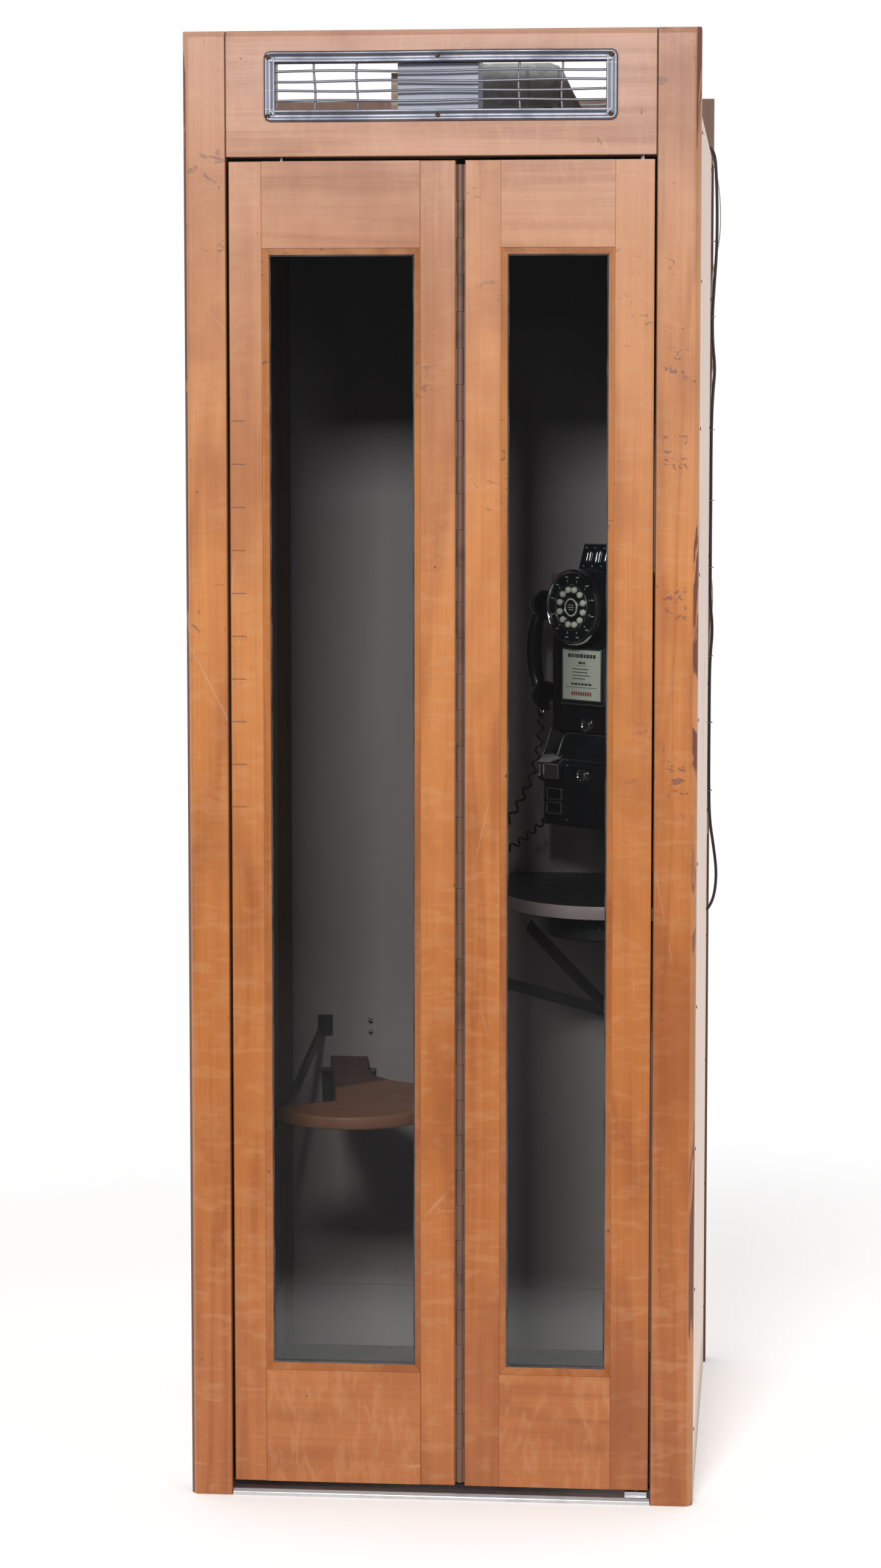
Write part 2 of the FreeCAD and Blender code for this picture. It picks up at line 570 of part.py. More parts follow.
def seat():
    """Seat board with a curved front and a tongue that reaches the rear wall."""
    tongueLeft = SEAT_TONGUE_FROM_LEFT - SEAT_TONGUE_WIDTH / 2.0
    tongueRight = tongueLeft + SEAT_TONGUE_WIDTH
    def at(fromLeft, fromRear):
        return V(fromLeft - INNER_HALF, INNER_BACK - fromRear, SEAT_TOP - SEAT_THICKNESS)
    nose = Part.Arc(at(54, 472), at(174, 554), at(278, 500)).toShape()
    flank = Part.Arc(at(278, 500), at(336, 380), at(250, 247)).toShape()
    neck = Part.Arc(at(250, 247), at(192, 195), at(164, 126)).toShape()
    straight = [at(164, 126), at(tongueRight, 0), at(tongueLeft, 0), at(144, 414), at(54, 472)]
    lines = [Part.LineSegment(a, b).toShape() for a, b in zip(straight, straight[1:])]
    outline = Part.Wire([nose, flank, neck] + lines)
    board = Part.Face(outline).extrude(V(0, 0, SEAT_THICKNESS))
    save("seat_board", board)
    underside = SEAT_TOP - SEAT_THICKNESS
    left = tongueLeft - INNER_HALF
    right = tongueRight - INNER_HALF
    angle = box(left - 14, right + 14, INNER_BACK - 38, INNER_BACK, underside - 3, underside)
    leg = box(left - 14, right + 14, INNER_BACK - 3, INNER_BACK, underside - 60, underside - 3)
    low = V(62 - INNER_HALF, INNER_BACK - 482, underside - STAY_SIZE / 2 - 4)
    high = V(left - 12, INNER_BACK - 4, SEAT_TOP + 50)
    bar = flatBar(low, high, STAY_SIZE, STAY_SIZE / 2)
    plate = box(high.x - 9, high.x + 16, INNER_BACK - 5, INNER_BACK, high.z - 14, high.z + 20)
    foot = cylinder(STAY_SIZE / 2 + 3, 10, V(low.x, low.y, underside - 10))
    save("seat_stay", [bar.multiFuse([plate, foot]), angle.fuse(leg)])


def flatBar(start, end, width, thickness):
    """A straight bar of rectangular section between two points."""
    along = end - start
    length = along.Length
    bar = Part.makeBox(length, thickness, width, V(0, -thickness / 2.0, -width / 2.0))
    bar.Placement = FreeCAD.Placement(start, FreeCAD.Rotation(V(1, 0, 0), along))
    return bar


def shelfOutline(inset, z):
    """Front edge of the shelf: straight at the right, then a quarter ellipse, then back to the wall."""
    left = INNER_HALF - SHELF_WIDTH + inset
    front = INNER_BACK - SHELF_DEPTH + inset
    centre = V(INNER_HALF - SHELF_ROUND_FROM_RIGHT, front + SHELF_ROUND_DEPTH, z)
    along = centre.x - left
    ellipse = Part.Ellipse(V(centre.x, centre.y - SHELF_ROUND_DEPTH, z), V(centre.x - along, centre.y, z), centre)
    quarter = Part.ArcOfEllipse(ellipse, 0, math.pi / 2.0).toShape()
    ends = [vertex.Point for vertex in quarter.Vertexes]
    frontEnd = min(ends, key=lambda point: point.y)
    leftEnd = min(ends, key=lambda point: point.x)
    straight = [frontEnd, V(INNER_HALF, frontEnd.y, z), V(INNER_HALF, INNER_BACK, z), V(leftEnd.x, INNER_BACK, z), leftEnd]
    lines = [Part.LineSegment(a, b).toShape() for a, b in zip(straight, straight[1:])]
    return Part.Face(Part.Wire(Part.__sortEdges__([quarter] + lines)))


def shelf():
    bottom = SHELF_TOP - SHELF_THICKNESS
    board = shelfOutline(0, bottom).extrude(V(0, 0, SHELF_THICKNESS))
    post = HALF + REAR_POST_STANDOUT - REAR_POST_WIDTH
    notch = box(post - FIT_GAP, HALF, BACK - REAR_POST - FIT_GAP, BACK, bottom - 1, SHELF_TOP + 1)
    save("shelf_board", board.cut(notch))
    tray = shelfOutline(TRAY_INSET, bottom - TRAY_HEIGHT).extrude(V(0, 0, TRAY_HEIGHT))
    limit = box(INNER_HALF - 350, INNER_HALF, FRONT, INNER_BACK - SHELF_DEPTH + 180, 0, SHELF_TOP)
    save("shelf_tray", tray.common(limit))
    meeting = V(INNER_HALF - 136, INNER_BACK - 2 * BRACE_THICKNESS - 2, 592)
    start = V(INNER_HALF - 252, INNER_BACK - 426, bottom - 8)
    first = flatBar(start, meeting, BRACE_WIDTH, BRACE_THICKNESS)
    clear = box(INNER_HALF - 350, INNER_HALF, FRONT, BACK, bottom, bottom + 60)
    onWall = INNER_BACK - BRACE_THICKNESS / 2.0
    second = flatBar(V(INNER_HALF - 390, onWall, 660), V(INNER_HALF - 128, onWall, 590), BRACE_WIDTH, BRACE_THICKNESS)
    save("shelf_braces", [first.cut(clear), second])


def phoneBoard():
    """A board across the right rear corner, with its front face on the telephone's back."""
    meeting = PHONE_X + PHONE_Y
    step = BOARD_THICKNESS * math.sqrt(2.0)
    points = [V(INNER_HALF, meeting - INNER_HALF, PHONE_BOTTOM), V(meeting - INNER_BACK, INNER_BACK, PHONE_BOTTOM),
              V(meeting - INNER_BACK + step, INNER_BACK, PHONE_BOTTOM),
              V(INNER_HALF, meeting - INNER_HALF + step, PHONE_BOTTOM)]
    save("phone_board", prism(points, V(0, 0, BOARD_TOP - PHONE_BOTTOM)))


def phoneCases():
    """Lower case with the vault recess, and upper case with a round-shouldered top."""
    half = LOWER_WIDTH / 2.0
    ledge = PHONE_BOTTOM + LOWER_HEIGHT - LEDGE_RISE
    top = PHONE_BOTTOM + LOWER_HEIGHT
    profile = [V(-half, 0, PHONE_BOTTOM), V(-half, -LOWER_PROUD, PHONE_BOTTOM), V(-half, -LOWER_PROUD, ledge),
               V(-half, -UPPER_PROUD + 8, top), V(-half, 0, top)]
    lower = prism(profile, V(LOWER_WIDTH, 0, 0))
    sides = [edge for edge in lower.Edges
             if abs(abs(edge.CenterOfMass.x) - half) < 0.1 and edge.CenterOfMass.y < -UPPER_PROUD + 20]
    lower = lower.makeFillet(7.0, [edge for edge in sides if runsAlong(edge, V(0, 0, 1))])
    gap = VAULT_CLEARANCE
    vaultBottom = ledge - 6.0 - VAULT_HEIGHT + 8.0
    recess = box(VAULT_LEFT - gap, VAULT_LEFT + VAULT_WIDTH + gap, -LOWER_PROUD - 1,
                 -LOWER_PROUD + VAULT_DOOR_THICKNESS + gap, vaultBottom - gap, vaultBottom + VAULT_HEIGHT - 8.0 + gap)
    chamber = box(VAULT_LEFT + 14, VAULT_LEFT + VAULT_WIDTH - 14, -LOWER_PROUD + 4, -20,
                  vaultBottom + 12, vaultBottom + VAULT_HEIGHT - 22)
    chute = box(-half + 10, -half + 10 + RETURN_WIDTH - 12, -LOWER_PROUD - 1, -LOWER_PROUD + 34,
                RETURN_Z - RETURN_HEIGHT / 2 + 8, RETURN_Z + RETURN_HEIGHT / 2 - 18)
    save("phone_lower_case", inPhone(lower.cut(recess).cut(chamber).cut(chute)))
    door = easedBox(VAULT_LEFT, VAULT_LEFT + VAULT_WIDTH, -LOWER_PROUD - 3, -LOWER_PROUD + VAULT_DOOR_THICKNESS,
                    vaultBottom, vaultBottom + VAULT_HEIGHT - 8.0, 3.0,
                    lambda edge: edge.CenterOfMass.y < -LOWER_PROUD - 2.9)
    lockPlace = V(VAULT_LOCK_X, -LOWER_PROUD - 4, VAULT_LOCK_Z)
    lockHole = cylinder(LOCK_RADIUS + LOCK_CLEARANCE, 30, lockPlace, V(0, 1, 0))
    save("vault_door", inPhone(door.cut(lockHole)))
    vaultLock = cylinder(LOCK_RADIUS, LOCK_LENGTH, V(VAULT_LOCK_X, -LOWER_PROUD - 5, VAULT_LOCK_Z), V(0, 1, 0))
    save("vault_lock", inPhone(keyed(vaultLock, VAULT_LOCK_X, -LOWER_PROUD - 5, VAULT_LOCK_Z)))
    wide = UPPER_WIDTH / 2.0
    upper = box(-wide, wide, -UPPER_PROUD, 0, top, UPPER_TOP)
    shoulders = [edge for edge in upper.Edges
                 if runsAlong(edge, V(0, 1, 0)) and edge.CenterOfMass.z > UPPER_TOP - 1]
    upper = upper.makeFillet(UPPER_ROUND, shoulders)
    frontEdges = [edge for edge in upper.Edges
                  if edge.CenterOfMass.y < -UPPER_PROUD + 0.1 and edge.CenterOfMass.z > top + 1]
    upper = upper.makeFillet(5.0, frontEdges)
    dialPod = Part.makeCone(DIAL_RADIUS + 5, DIAL_RADIUS, DIAL_PROUD - UPPER_PROUD + 4,
                            V(0, -UPPER_PROUD + 6, DIAL_Z), V(0, -1, 0))
    plaque = box(PLAQUE_LEFT, PLAQUE_RIGHT, -PLAQUE_PROUD, -UPPER_PROUD + 2, PLAQUE_BOTTOM, PLAQUE_TOP)
    upper = upper.multiFuse([dialPod, plaque])
    well = cylinder(DIAL_RADIUS - 3, 14, V(0, -DIAL_PROUD - 2, DIAL_Z), V(0, 1, 0))
    socketPlace = V(UPPER_LOCK_X, -UPPER_PROUD - 1, UPPER_LOCK_Z)
    lockSocket = cylinder(LOCK_RADIUS + LOCK_CLEARANCE, 40, socketPlace, V(0, 1, 0))
    upper = upper.cut(well).cut(lockSocket)
    hookY = -UPPER_PROUD + HOOK_FROM_FACE
    hookSlot = box(-wide - 1, -wide + 24, hookY - 7, hookY + 7, HOOK_Z - 14, HOOK_Z + 14)
    save("phone_upper_case", inPhone(upper.cut(hookSlot)))
    upperLock = cylinder(LOCK_RADIUS, LOCK_LENGTH, V(UPPER_LOCK_X, -UPPER_PROUD - 3, UPPER_LOCK_Z), V(0, 1, 0))
    save("upper_lock", inPhone(keyed(upperLock, UPPER_LOCK_X, -UPPER_PROUD - 3, UPPER_LOCK_Z)))


def keyed(barrel, x, face, z):
    """Cut a keyway into the front of a lock barrel."""
    return barrel.cut(box(x - 1.2, x + 1.2, face - 1, face + 4, z - 4, z + 4))


def dial():
    """Dial plate with a chromed rim, and twelve push buttons in a ring."""
    back = -DIAL_PROUD + 12.0
    plateFront = -DIAL_PROUD + 3.0
    plate = cylinder(DIAL_RADIUS - 3.3, back - plateFront, V(0, plateFront, DIAL_Z), V(0, 1, 0))
    centre = cylinder(14.6, 3.0, V(0, plateFront - 3.0, DIAL_Z), V(0, 1, 0))
    plate = plate.fuse(centre)
    holeRadius = BUTTON_DIAMETER / 2.0 + BUTTON_CLEARANCE
    for index in range(12):
        angle = math.radians(15.0 + 30.0 * index)
        place = V(BUTTON_RING * math.sin(angle), plateFront, DIAL_Z + BUTTON_RING * math.cos(angle))
        plate = plate.cut(cylinder(holeRadius, 7.0, place - V(0, 1, 0), V(0, 1, 0)))
        stem = cylinder(BUTTON_DIAMETER / 2.0, BUTTON_STANDOUT + 2.0, place - V(0, BUTTON_STANDOUT, 0), V(0, 1, 0))
        crown = [edge for edge in stem.Edges if abs(edge.CenterOfMass.y - (place.y - BUTTON_STANDOUT)) < 0.01]
        stem = stem.makeFillet(3.4, crown[:1])
        save("dial_button_%02d" % (index + 1), inPhone(stem))
    save("dial_plate", inPhone(plate))


def coinHead():
    z0 = UPPER_TOP
    z1 = UPPER_TOP + COIN_HEAD_HEIGHT
    wide = COIN_HEAD_WIDTH / 2.0
    narrow = COIN_HEAD_TOP_WIDTH / 2.0
    lower = Part.makePolygon([V(-wide, -30, z0), V(wide, -30, z0), V(wide, -COIN_HEAD_PROUD, z0),
                              V(-wide, -COIN_HEAD_PROUD, z0), V(-wide, -30, z0)])
    slope = COIN_HEAD_PROUD - 10.0
    upper = Part.makePolygon([V(-narrow, -36, z1), V(narrow, -36, z1), V(narrow, -slope, z1),
                              V(-narrow, -slope, z1), V(-narrow, -36, z1)])
    head = Part.makeLoft([lower, upper], True, True)
    for x in (-22.0, 0.0, 22.0):
        head = head.cut(box(x - 1.3, x + 1.3, -COIN_HEAD_PROUD - 1, -COIN_HEAD_PROUD + 26, z0 + 11, z0 + 32))
    save("coin_head", inPhone(head))


def coinReturn():
    half = LOWER_WIDTH / 2.0
    x0 = -half + 4.0
    x1 = x0 + RETURN_WIDTH
    z0 = RETURN_Z - RETURN_HEIGHT / 2.0
    z1 = z0 + RETURN_HEIGHT
    face = -LOWER_PROUD
    ledge = PHONE_BOTTOM + LOWER_HEIGHT - LEDGE_RISE
    slope = (LOWER_PROUD - UPPER_PROUD + 8.0) / LEDGE_RISE
    outer = [V(x0, face, z0), V(x0, face - RETURN_STANDOUT, z0 + 8), V(x0, face - RETURN_STANDOUT, z1 - 14),
             V(x0, face + slope * (z1 - ledge), z1), V(x0, face, ledge)]
    hood = prism(outer, V(RETURN_WIDTH, 0, 0))
    mouth = box(x0 + 6, x1 - 6, face - RETURN_STANDOUT - 1, face + 1, z0 + 7, z1 - 18)
    save("coin_return", inPhone(hood.cut(mouth)))
    flap = box(x0 + 6.6, x1 - 6.6, face - 8.0, face - 6.0, z0 + 8.0, z1 - 21.0)
    roll = cylinder(1.6, x1 - x0 - 13.2, V(x0 + 6.6, face - 7.0, z1 - 20.6), V(1, 0, 0))
    save("coin_return_flap", inPhone(flap.fuse(roll)))


def handsetAndHook():
    """Handset: a bowed handle with an ear cup at the top and a mouth cup at the bottom."""
    x = HANDSET_X
    y = HANDSET_Y
    top = HANDSET_TOP - 24.0
    bottom = HANDSET_TOP - HANDSET_LENGTH + 24.0
    middle = (top + bottom) / 2.0
    arc = Part.Arc(V(x + 8, y, bottom), V(x - 10, y, middle), V(x + 8, y, top)).toShape()
    section = Part.Wire(Part.makeCircle(11.5, V(x + 8, y, bottom), arc.tangentAt(arc.FirstParameter)))
    handle = Part.Wire([arc]).makePipeShell([section], True, True)
    cups = []
    for z in (top, bottom):
        cups.append(Part.makeCone(19.0, 25.0, 26.0, V(x - 2, y, z), V(1, 0, 0)))
    save("handset", inPhone(handle.multiFuse(cups)))
    save("hook_lever", inPhone(hookLever()))


def hookLever():
    """A forked lever that comes out of the case and cradles the foot of the handset."""
    side = -UPPER_WIDTH / 2.0
    z = HOOK_Z
    y = -UPPER_PROUD + HOOK_FROM_FACE
    arm = box(side - 12.0, side + 16.0, y - 5, y + 5, z - 4, z + 4)
    hub = cylinder(6.0, 10.0, V(side + 14.0, y - 5, z), V(0, 1, 0))
    plate = box(side - 16.0, side - 12.0, HANDSET_Y - 12, y + 5, z - 21, z + 8)
    lip = box(side - 29.0, side - 12.0, HANDSET_Y - 12, HANDSET_Y + 12, z - 21, z - 17)
    return arm.multiFuse([hub, plate, lip])


def cords():
    """The bell cable down the outside of the right side, and the curly handset cord."""
    save("bell_cable", tube(cableRoute(), CABLE_DIAMETER, "bell_cable"))
    save("handset_cord", tube(cordRoute(), CORD_DIAMETER, "handset_cord"))


def cableRoute():
    """From the fan box over the roof deck, over the side's top edge, down the outside and in through the side."""
    out = HALF + CABLE_DIAMETER / 2.0 + 0.3
    y = BACK - REAR_POST - 26.0
    top = SIDE_TOP + CABLE_DIAMETER / 2.0 + 1.0
    deck = CEILING_TOP + CABLE_DIAMETER / 2.0 + 0.3
    start = FAN_X + FAN_BOX[0] / 2.0
    fanBack = FRONT + FAN_FROM_FRONT + FAN_BOX[1] - 20.0
    across = HALF - 40.0 - start
    along = y - 52.0 - fanBack
    shares = ((0.0, 0.0, 24), (0.217, 0.005, 20), (0.457, 0.060, 4), (0.640, 0.172, 1), (0.709, 0.312, 0),
              (0.743, 0.465, 0), (0.789, 0.623, 0), (0.857, 0.781, 3))
    points = [(start + u * across, fanBack + v * along, deck + lift) for u, v, lift in shares]
    points += [(HALF - 40, y - 52, top + 2), (HALF - 12, y - 18, top + 16), (out + 3, y - 4, top + 4)]
    down = ((6, 1, 42), (7.5, 3, 98), (7, 2, 158), (3.5, 0, 212), (0.6, -1, 262), (1.5, 1, 308), (6, 3, 348),
            (2, 1, 392), (0.5, -2, 446), (0.3, -1, 504), (0.4, 2, 562), (0.3, 1, 618), (0.5, -2, 674), (0.4, 0, 730),
            (5, 3, 776), (1, 1, 820), (0.3, -2, 872), (0.4, 0, 930), (0.3, 2, 988), (0.6, 1, 1042), (2, -1, 1092),
            (9, -3, 1136), (14, -2, 1176), (12, 0, 1210), (5, 1, 1234))
    points += [(out + dx, y + dy, top - dz) for dx, dy, dz in down]
    points.append((HALF, y + 1, top - 1242))
    return points


def cordRoute():
    """From the foot of the handset out to the left, round, and back into the side of the lower case."""
    footX, footY, footZ = inBooth(HANDSET_X + 6.0, HANDSET_Y, HANDSET_TOP - HANDSET_LENGTH - 1.0)
    caseX, caseY, caseZ = inBooth(-LOWER_WIDTH / 2.0, -70.0, PHONE_BOTTOM + 20.0)
    fromFoot = ((0, 0, 0), (0, -1, -31), (-3, -4, -63), (-11, -9, -97), (-24, -14, -131), (-40, -18, -161),
                (-57, -20, -186), (-75, -20, -203), (-81, -4, -225))
    fromCase = ((-112, 14, -75), (-90, 30, -68), (-64, 32, -47), (-38, 30, -23), (-20, 20, -4), (0, 0, 0))
    points = [(footX + dx, footY + dy, footZ + dz) for dx, dy, dz in fromFoot]
    points += [(caseX + dx, caseY + dy, caseZ + dz) for dx, dy, dz in fromCase]
    return points


def inBooth(x, y, z):
    """A place in the telephone's own frame, given in the booth's."""
    turn = math.radians(PHONE_TURN)
    across = PHONE_X + x * math.cos(turn) - y * math.sin(turn)
    along = PHONE_Y + x * math.sin(turn) + y * math.cos(turn)
    return (across, along, z)


frontFrame()
ventGrille()
bodyShell()
wallLining()
threshold()
doorLeaves()
leafHinge()
doorHardware()
roofFittings()
seat()
shelf()
phoneBoard()
phoneCases()
dial()
coinHead()
coinReturn()
handsetAndHook()
cords()
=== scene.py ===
import json
import math
import random
import bmesh
import bpy
from mathutils import Matrix, Vector

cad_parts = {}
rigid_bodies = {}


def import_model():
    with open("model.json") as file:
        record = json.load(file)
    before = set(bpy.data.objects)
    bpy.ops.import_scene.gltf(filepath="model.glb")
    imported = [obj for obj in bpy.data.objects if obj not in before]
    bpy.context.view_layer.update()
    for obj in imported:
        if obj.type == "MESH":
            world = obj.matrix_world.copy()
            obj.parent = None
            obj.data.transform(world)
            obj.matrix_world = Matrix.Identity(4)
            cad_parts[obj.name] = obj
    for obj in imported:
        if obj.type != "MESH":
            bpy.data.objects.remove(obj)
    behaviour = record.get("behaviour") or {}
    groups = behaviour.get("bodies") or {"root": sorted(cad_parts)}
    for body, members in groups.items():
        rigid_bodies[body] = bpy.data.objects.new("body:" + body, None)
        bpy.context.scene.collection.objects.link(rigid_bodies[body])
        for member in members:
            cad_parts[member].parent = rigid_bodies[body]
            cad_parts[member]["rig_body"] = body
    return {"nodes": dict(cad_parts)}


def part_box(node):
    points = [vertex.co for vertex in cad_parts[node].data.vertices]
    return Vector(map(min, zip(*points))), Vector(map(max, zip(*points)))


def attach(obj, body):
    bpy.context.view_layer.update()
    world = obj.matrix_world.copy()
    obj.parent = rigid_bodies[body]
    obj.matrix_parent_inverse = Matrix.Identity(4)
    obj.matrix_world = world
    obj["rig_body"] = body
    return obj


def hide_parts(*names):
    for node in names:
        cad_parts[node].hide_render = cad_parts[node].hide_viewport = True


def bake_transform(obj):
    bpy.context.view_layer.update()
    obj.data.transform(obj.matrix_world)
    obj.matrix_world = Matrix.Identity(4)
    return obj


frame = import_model()
nodes = frame["nodes"]
scene = bpy.context.scene
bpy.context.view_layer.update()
dice = random.Random(17)
mm = 0.001


# ---- small tools for meshes

turnAcross = Matrix(((0, 0, 1, 0), (0, 1, 0, 0), (-1, 0, 0, 0), (0, 0, 0, 1)))


def newObject(name, data):
    obj = bpy.data.objects.new(name, data)
    scene.collection.objects.link(obj)
    return obj


def plainMesh(obj):
    # the mesh of a curve, figure or node tree as it stands
    return bpy.data.meshes.new_from_object(obj.evaluated_get(bpy.context.evaluated_depsgraph_get()))


def meshFrom(bm, name):
    bmesh.ops.recalc_face_normals(bm, faces=bm.faces)
    mesh = bpy.data.meshes.new(name)
    bm.to_mesh(mesh)
    bm.free()
    return newObject(name, mesh)


def finishPiece(obj, body, material, smooth=35.0, replaces=()):
    mesh = obj.data
    mesh.materials.clear()
    mesh.materials.append(material)
    if smooth:
        mesh.shade_smooth()
        mesh.set_sharp_from_angle(angle=math.radians(smooth))
    if body:
        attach(obj, body)
    if replaces:
        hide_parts(*replaces)
    return obj


def paintNode(name, material):
    node = nodes[name]
    node.data.materials.clear()
    node.data.materials.append(material)
    for face in node.data.polygons:
        face.material_index = 0


def merged(name):
    # a welded, tidy copy of a CAD node's mesh
    bm = bmesh.new()
    bm.from_mesh(nodes[name].data)
    bmesh.ops.remove_doubles(bm, verts=bm.verts, dist=0.00001)
    bmesh.ops.dissolve_limit(bm, angle_limit=math.radians(1.2), verts=bm.verts, edges=bm.edges)
    for face in bm.faces:
        turns = [edge.calc_face_angle(0.0) for edge in face.edges if len(edge.link_faces) == 2]
        face.smooth = any(math.radians(1.0) < turn < math.radians(28.0) for turn in turns)
    return bm


def bevelled(bm, edges, width, segments=2):
    return bmesh.ops.bevel(bm, geom=edges, offset=width, segments=segments, profile=0.5, affect="EDGES",
                           clamp_overlap=True)


def softened(name, width, material):
    # the CAD shape with its hard edges eased, in place of the plain node
    bm = merged(name)
    sharp = [e for e in bm.edges if len(e.link_faces) == 2 and e.calc_face_angle(0) > math.radians(28.0)]
    for face in bevelled(bm, sharp, width)["faces"]:
        face.smooth = True
    return finishPiece(meshFrom(bm, name + "_eased"), nodes[name]["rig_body"], material, 0, (name,))


def addBox(bm, low, high, bevel=0.0, segments=2):
    middle = (Vector(low) + Vector(high)) / 2
    size = Vector(high) - Vector(low)
    made = bmesh.ops.create_cube(bm, size=1.0, matrix=Matrix.Translation(middle) @ Matrix.Diagonal((*size, 1)))
    if bevel:
        bevelled(bm, list({e for v in made["verts"] for e in v.link_edges}), bevel, segments)


def addLathe(bm, profile, matrix, steps=32):
    # profile is (radius, height) pairs turned about local Z; ends on the axis close it
    rings = []
    for radius, height in profile:
        if radius < 1e-6:
            rings.append([bm.verts.new(matrix @ Vector((0, 0, height)))])
            continue
        rings.append([bm.verts.new(matrix @ Vector((radius * math.cos(2 * math.pi * i / steps),
                                                    radius * math.sin(2 * math.pi * i / steps), height)))
                      for i in range(steps)])
    for lower, upper in zip(rings, rings[1:]):
        for i in range(steps):
            j = (i + 1) % steps
            if len(lower) == 1 and len(upper) == 1:
                continue
            if len(lower) == 1:
                bm.faces.new((lower[0], upper[j], upper[i]))
            elif len(upper) == 1:
                bm.faces.new((lower[i], lower[j], upper[0]))
            else:
                bm.faces.new((lower[i], lower[j], upper[j], upper[i]))


def roundedPath(halfWidth, halfHeight, radius, cornerSteps=6, straightSteps=1):
    # points and outward directions round a rounded rectangle in the local XZ plane
    path = []
    corners = ((1, 1, 0), (-1, 1, 90), (-1, -1, 180), (1, -1, 270))
    for index, (sx, sz, start) in enumerate(corners):
        cx, cz = sx * (halfWidth - radius), sz * (halfHeight - radius)
        for step in range(cornerSteps + 1):
            angle = math.radians(start + 90.0 * step / cornerSteps)
            out = Vector((math.cos(angle), 0, math.sin(angle)))
            path.append((Vector((cx, 0, cz)) + out * radius, out))
        nx, nz, nextStart = corners[(index + 1) % 4]
        ahead = Vector((nx * (halfWidth - radius), 0, nz * (halfHeight - radius))) + out * radius
        here = path[-1][0]
        for step in range(1, straightSteps):
            path.append((here.lerp(ahead, step / straightSteps), out))
    return path


def addRing(bm, path, profile, matrix):
    # profile is (outward, towards the viewer) pairs, joined up all the way round
    rings = [[bm.verts.new(matrix @ (point + out * d + Vector((0, -h, 0)))) for d, h in profile]
             for point, out in path]
    count = len(profile)
    for i, ring in enumerate(rings):
        following = rings[(i + 1) % len(rings)]
        for j in range(count):
            k = (j + 1) % count
            bm.faces.new((ring[j], ring[k], following[k], following[j]))


def addSweep(bm, points, radius, steps=8, flat=1.0):
    # a round or flattened bar along a list of points, closed at both ends
    rings = []
    side = None
    for i, point in enumerate(points):
        before = points[max(i - 1, 0)]
        after = points[min(i + 1, len(points) - 1)]
        along = (after - before).normalized()
        guess = side if side else (Vector((0, 0, 1)) if abs(along.z) < 0.9 else Vector((1, 0, 0)))
        side = (guess - along * guess.dot(along)).normalized()
        other = along.cross(side)
        size = radius(i / (len(points) - 1)) if callable(radius) else radius
        rings.append([bm.verts.new(point + side * size * math.cos(2 * math.pi * k / steps)
                                   + other * size * flat * math.sin(2 * math.pi * k / steps))
                      for k in range(steps)])
    for lower, upper in zip(rings, rings[1:]):
        for k in range(steps):
            m = (k + 1) % steps
            bm.faces.new((lower[k], lower[m], upper[m], upper[k]))
    bm.faces.new(rings[0])
    bm.faces.new(rings[-1])


def addPrism(bm, front, back):
    # two matching outlines with walls between them
    front = [bm.verts.new(place) for place in front]
    back = [bm.verts.new(place) for place in back]
    bm.faces.new(front)
    bm.faces.new(list(reversed(back)))
    for i in range(len(front)):
        j = (i + 1) % len(front)
        bm.faces.new((front[i], back[i], back[j], front[j]))


def metres(points):
    return [Vector(point) * mm for point in points]


def lengthOf(line):
    return sum((b - a).length for a, b in zip(line, line[1:]))


def curveLine(points, name):
    # the points of a smooth NURBS line through the control points
    data = bpy.data.curves.new(name, "CURVE")
    data.dimensions = "3D"
    data.resolution_u = 10
    spline = data.splines.new("NURBS")
    spline.points.add(len(points) - 1)
    for target, point in zip(spline.points, points):
        target.co = (*point, 1.0)
    spline.order_u = 3
    spline.use_endpoint_u = True
    obj = newObject(name, data)
    mesh = plainMesh(obj)
    line = [v.co.copy() for v in mesh.vertices]
    bpy.data.objects.remove(obj)
    bpy.data.meshes.remove(mesh)
    return line


# ---- small tools for materials

class Value:
    # one socket of a node tree, so that sums are written as sums
    def __init__(self, shade, socket):
        self.shade = shade
        self.socket = socket

    def sum(self, operation, *others):
        values = dict(enumerate((self, *others)))
        return self.shade.node("ShaderNodeMath", {"operation": operation}, values).value()

    def __add__(self, other):
        return self.sum("ADD", other)

    def __mul__(self, other):
        return self.sum("MULTIPLY", other)

    def __sub__(self, other):
        return self.sum("SUBTRACT", other)

    def __rsub__(self, other):
        return self.shade.node("ShaderNodeMath", {"operation": "SUBTRACT"}, {0: other, 1: self}).value()

    def __pow__(self, other):
        return self.sum("POWER", other)

    __radd__ = __add__
    __rmul__ = __mul__

    def clamp(self):
        return self.shade.node("ShaderNodeClamp", {}, {"Value": self}).value()

    def band(self, low, high, to0=0.0, to1=1.0):
        # a smooth step from to0 below low to to1 above high
        return self.shade.node("ShaderNodeMapRange", {"interpolation_type": "SMOOTHSTEP"},
                               {"Value": self, "From Min": low, "From Max": high, "To Min": to0,
                                "To Max": to1}).value()

    def fade(self, low, high):
        return self.band(low, high, 1.0, 0.0)


class Step:
    def __init__(self, shade, node):
        self.shade = shade
        self.node = node

    def value(self, name=0):
        return Value(self.shade, self.node.outputs[name])


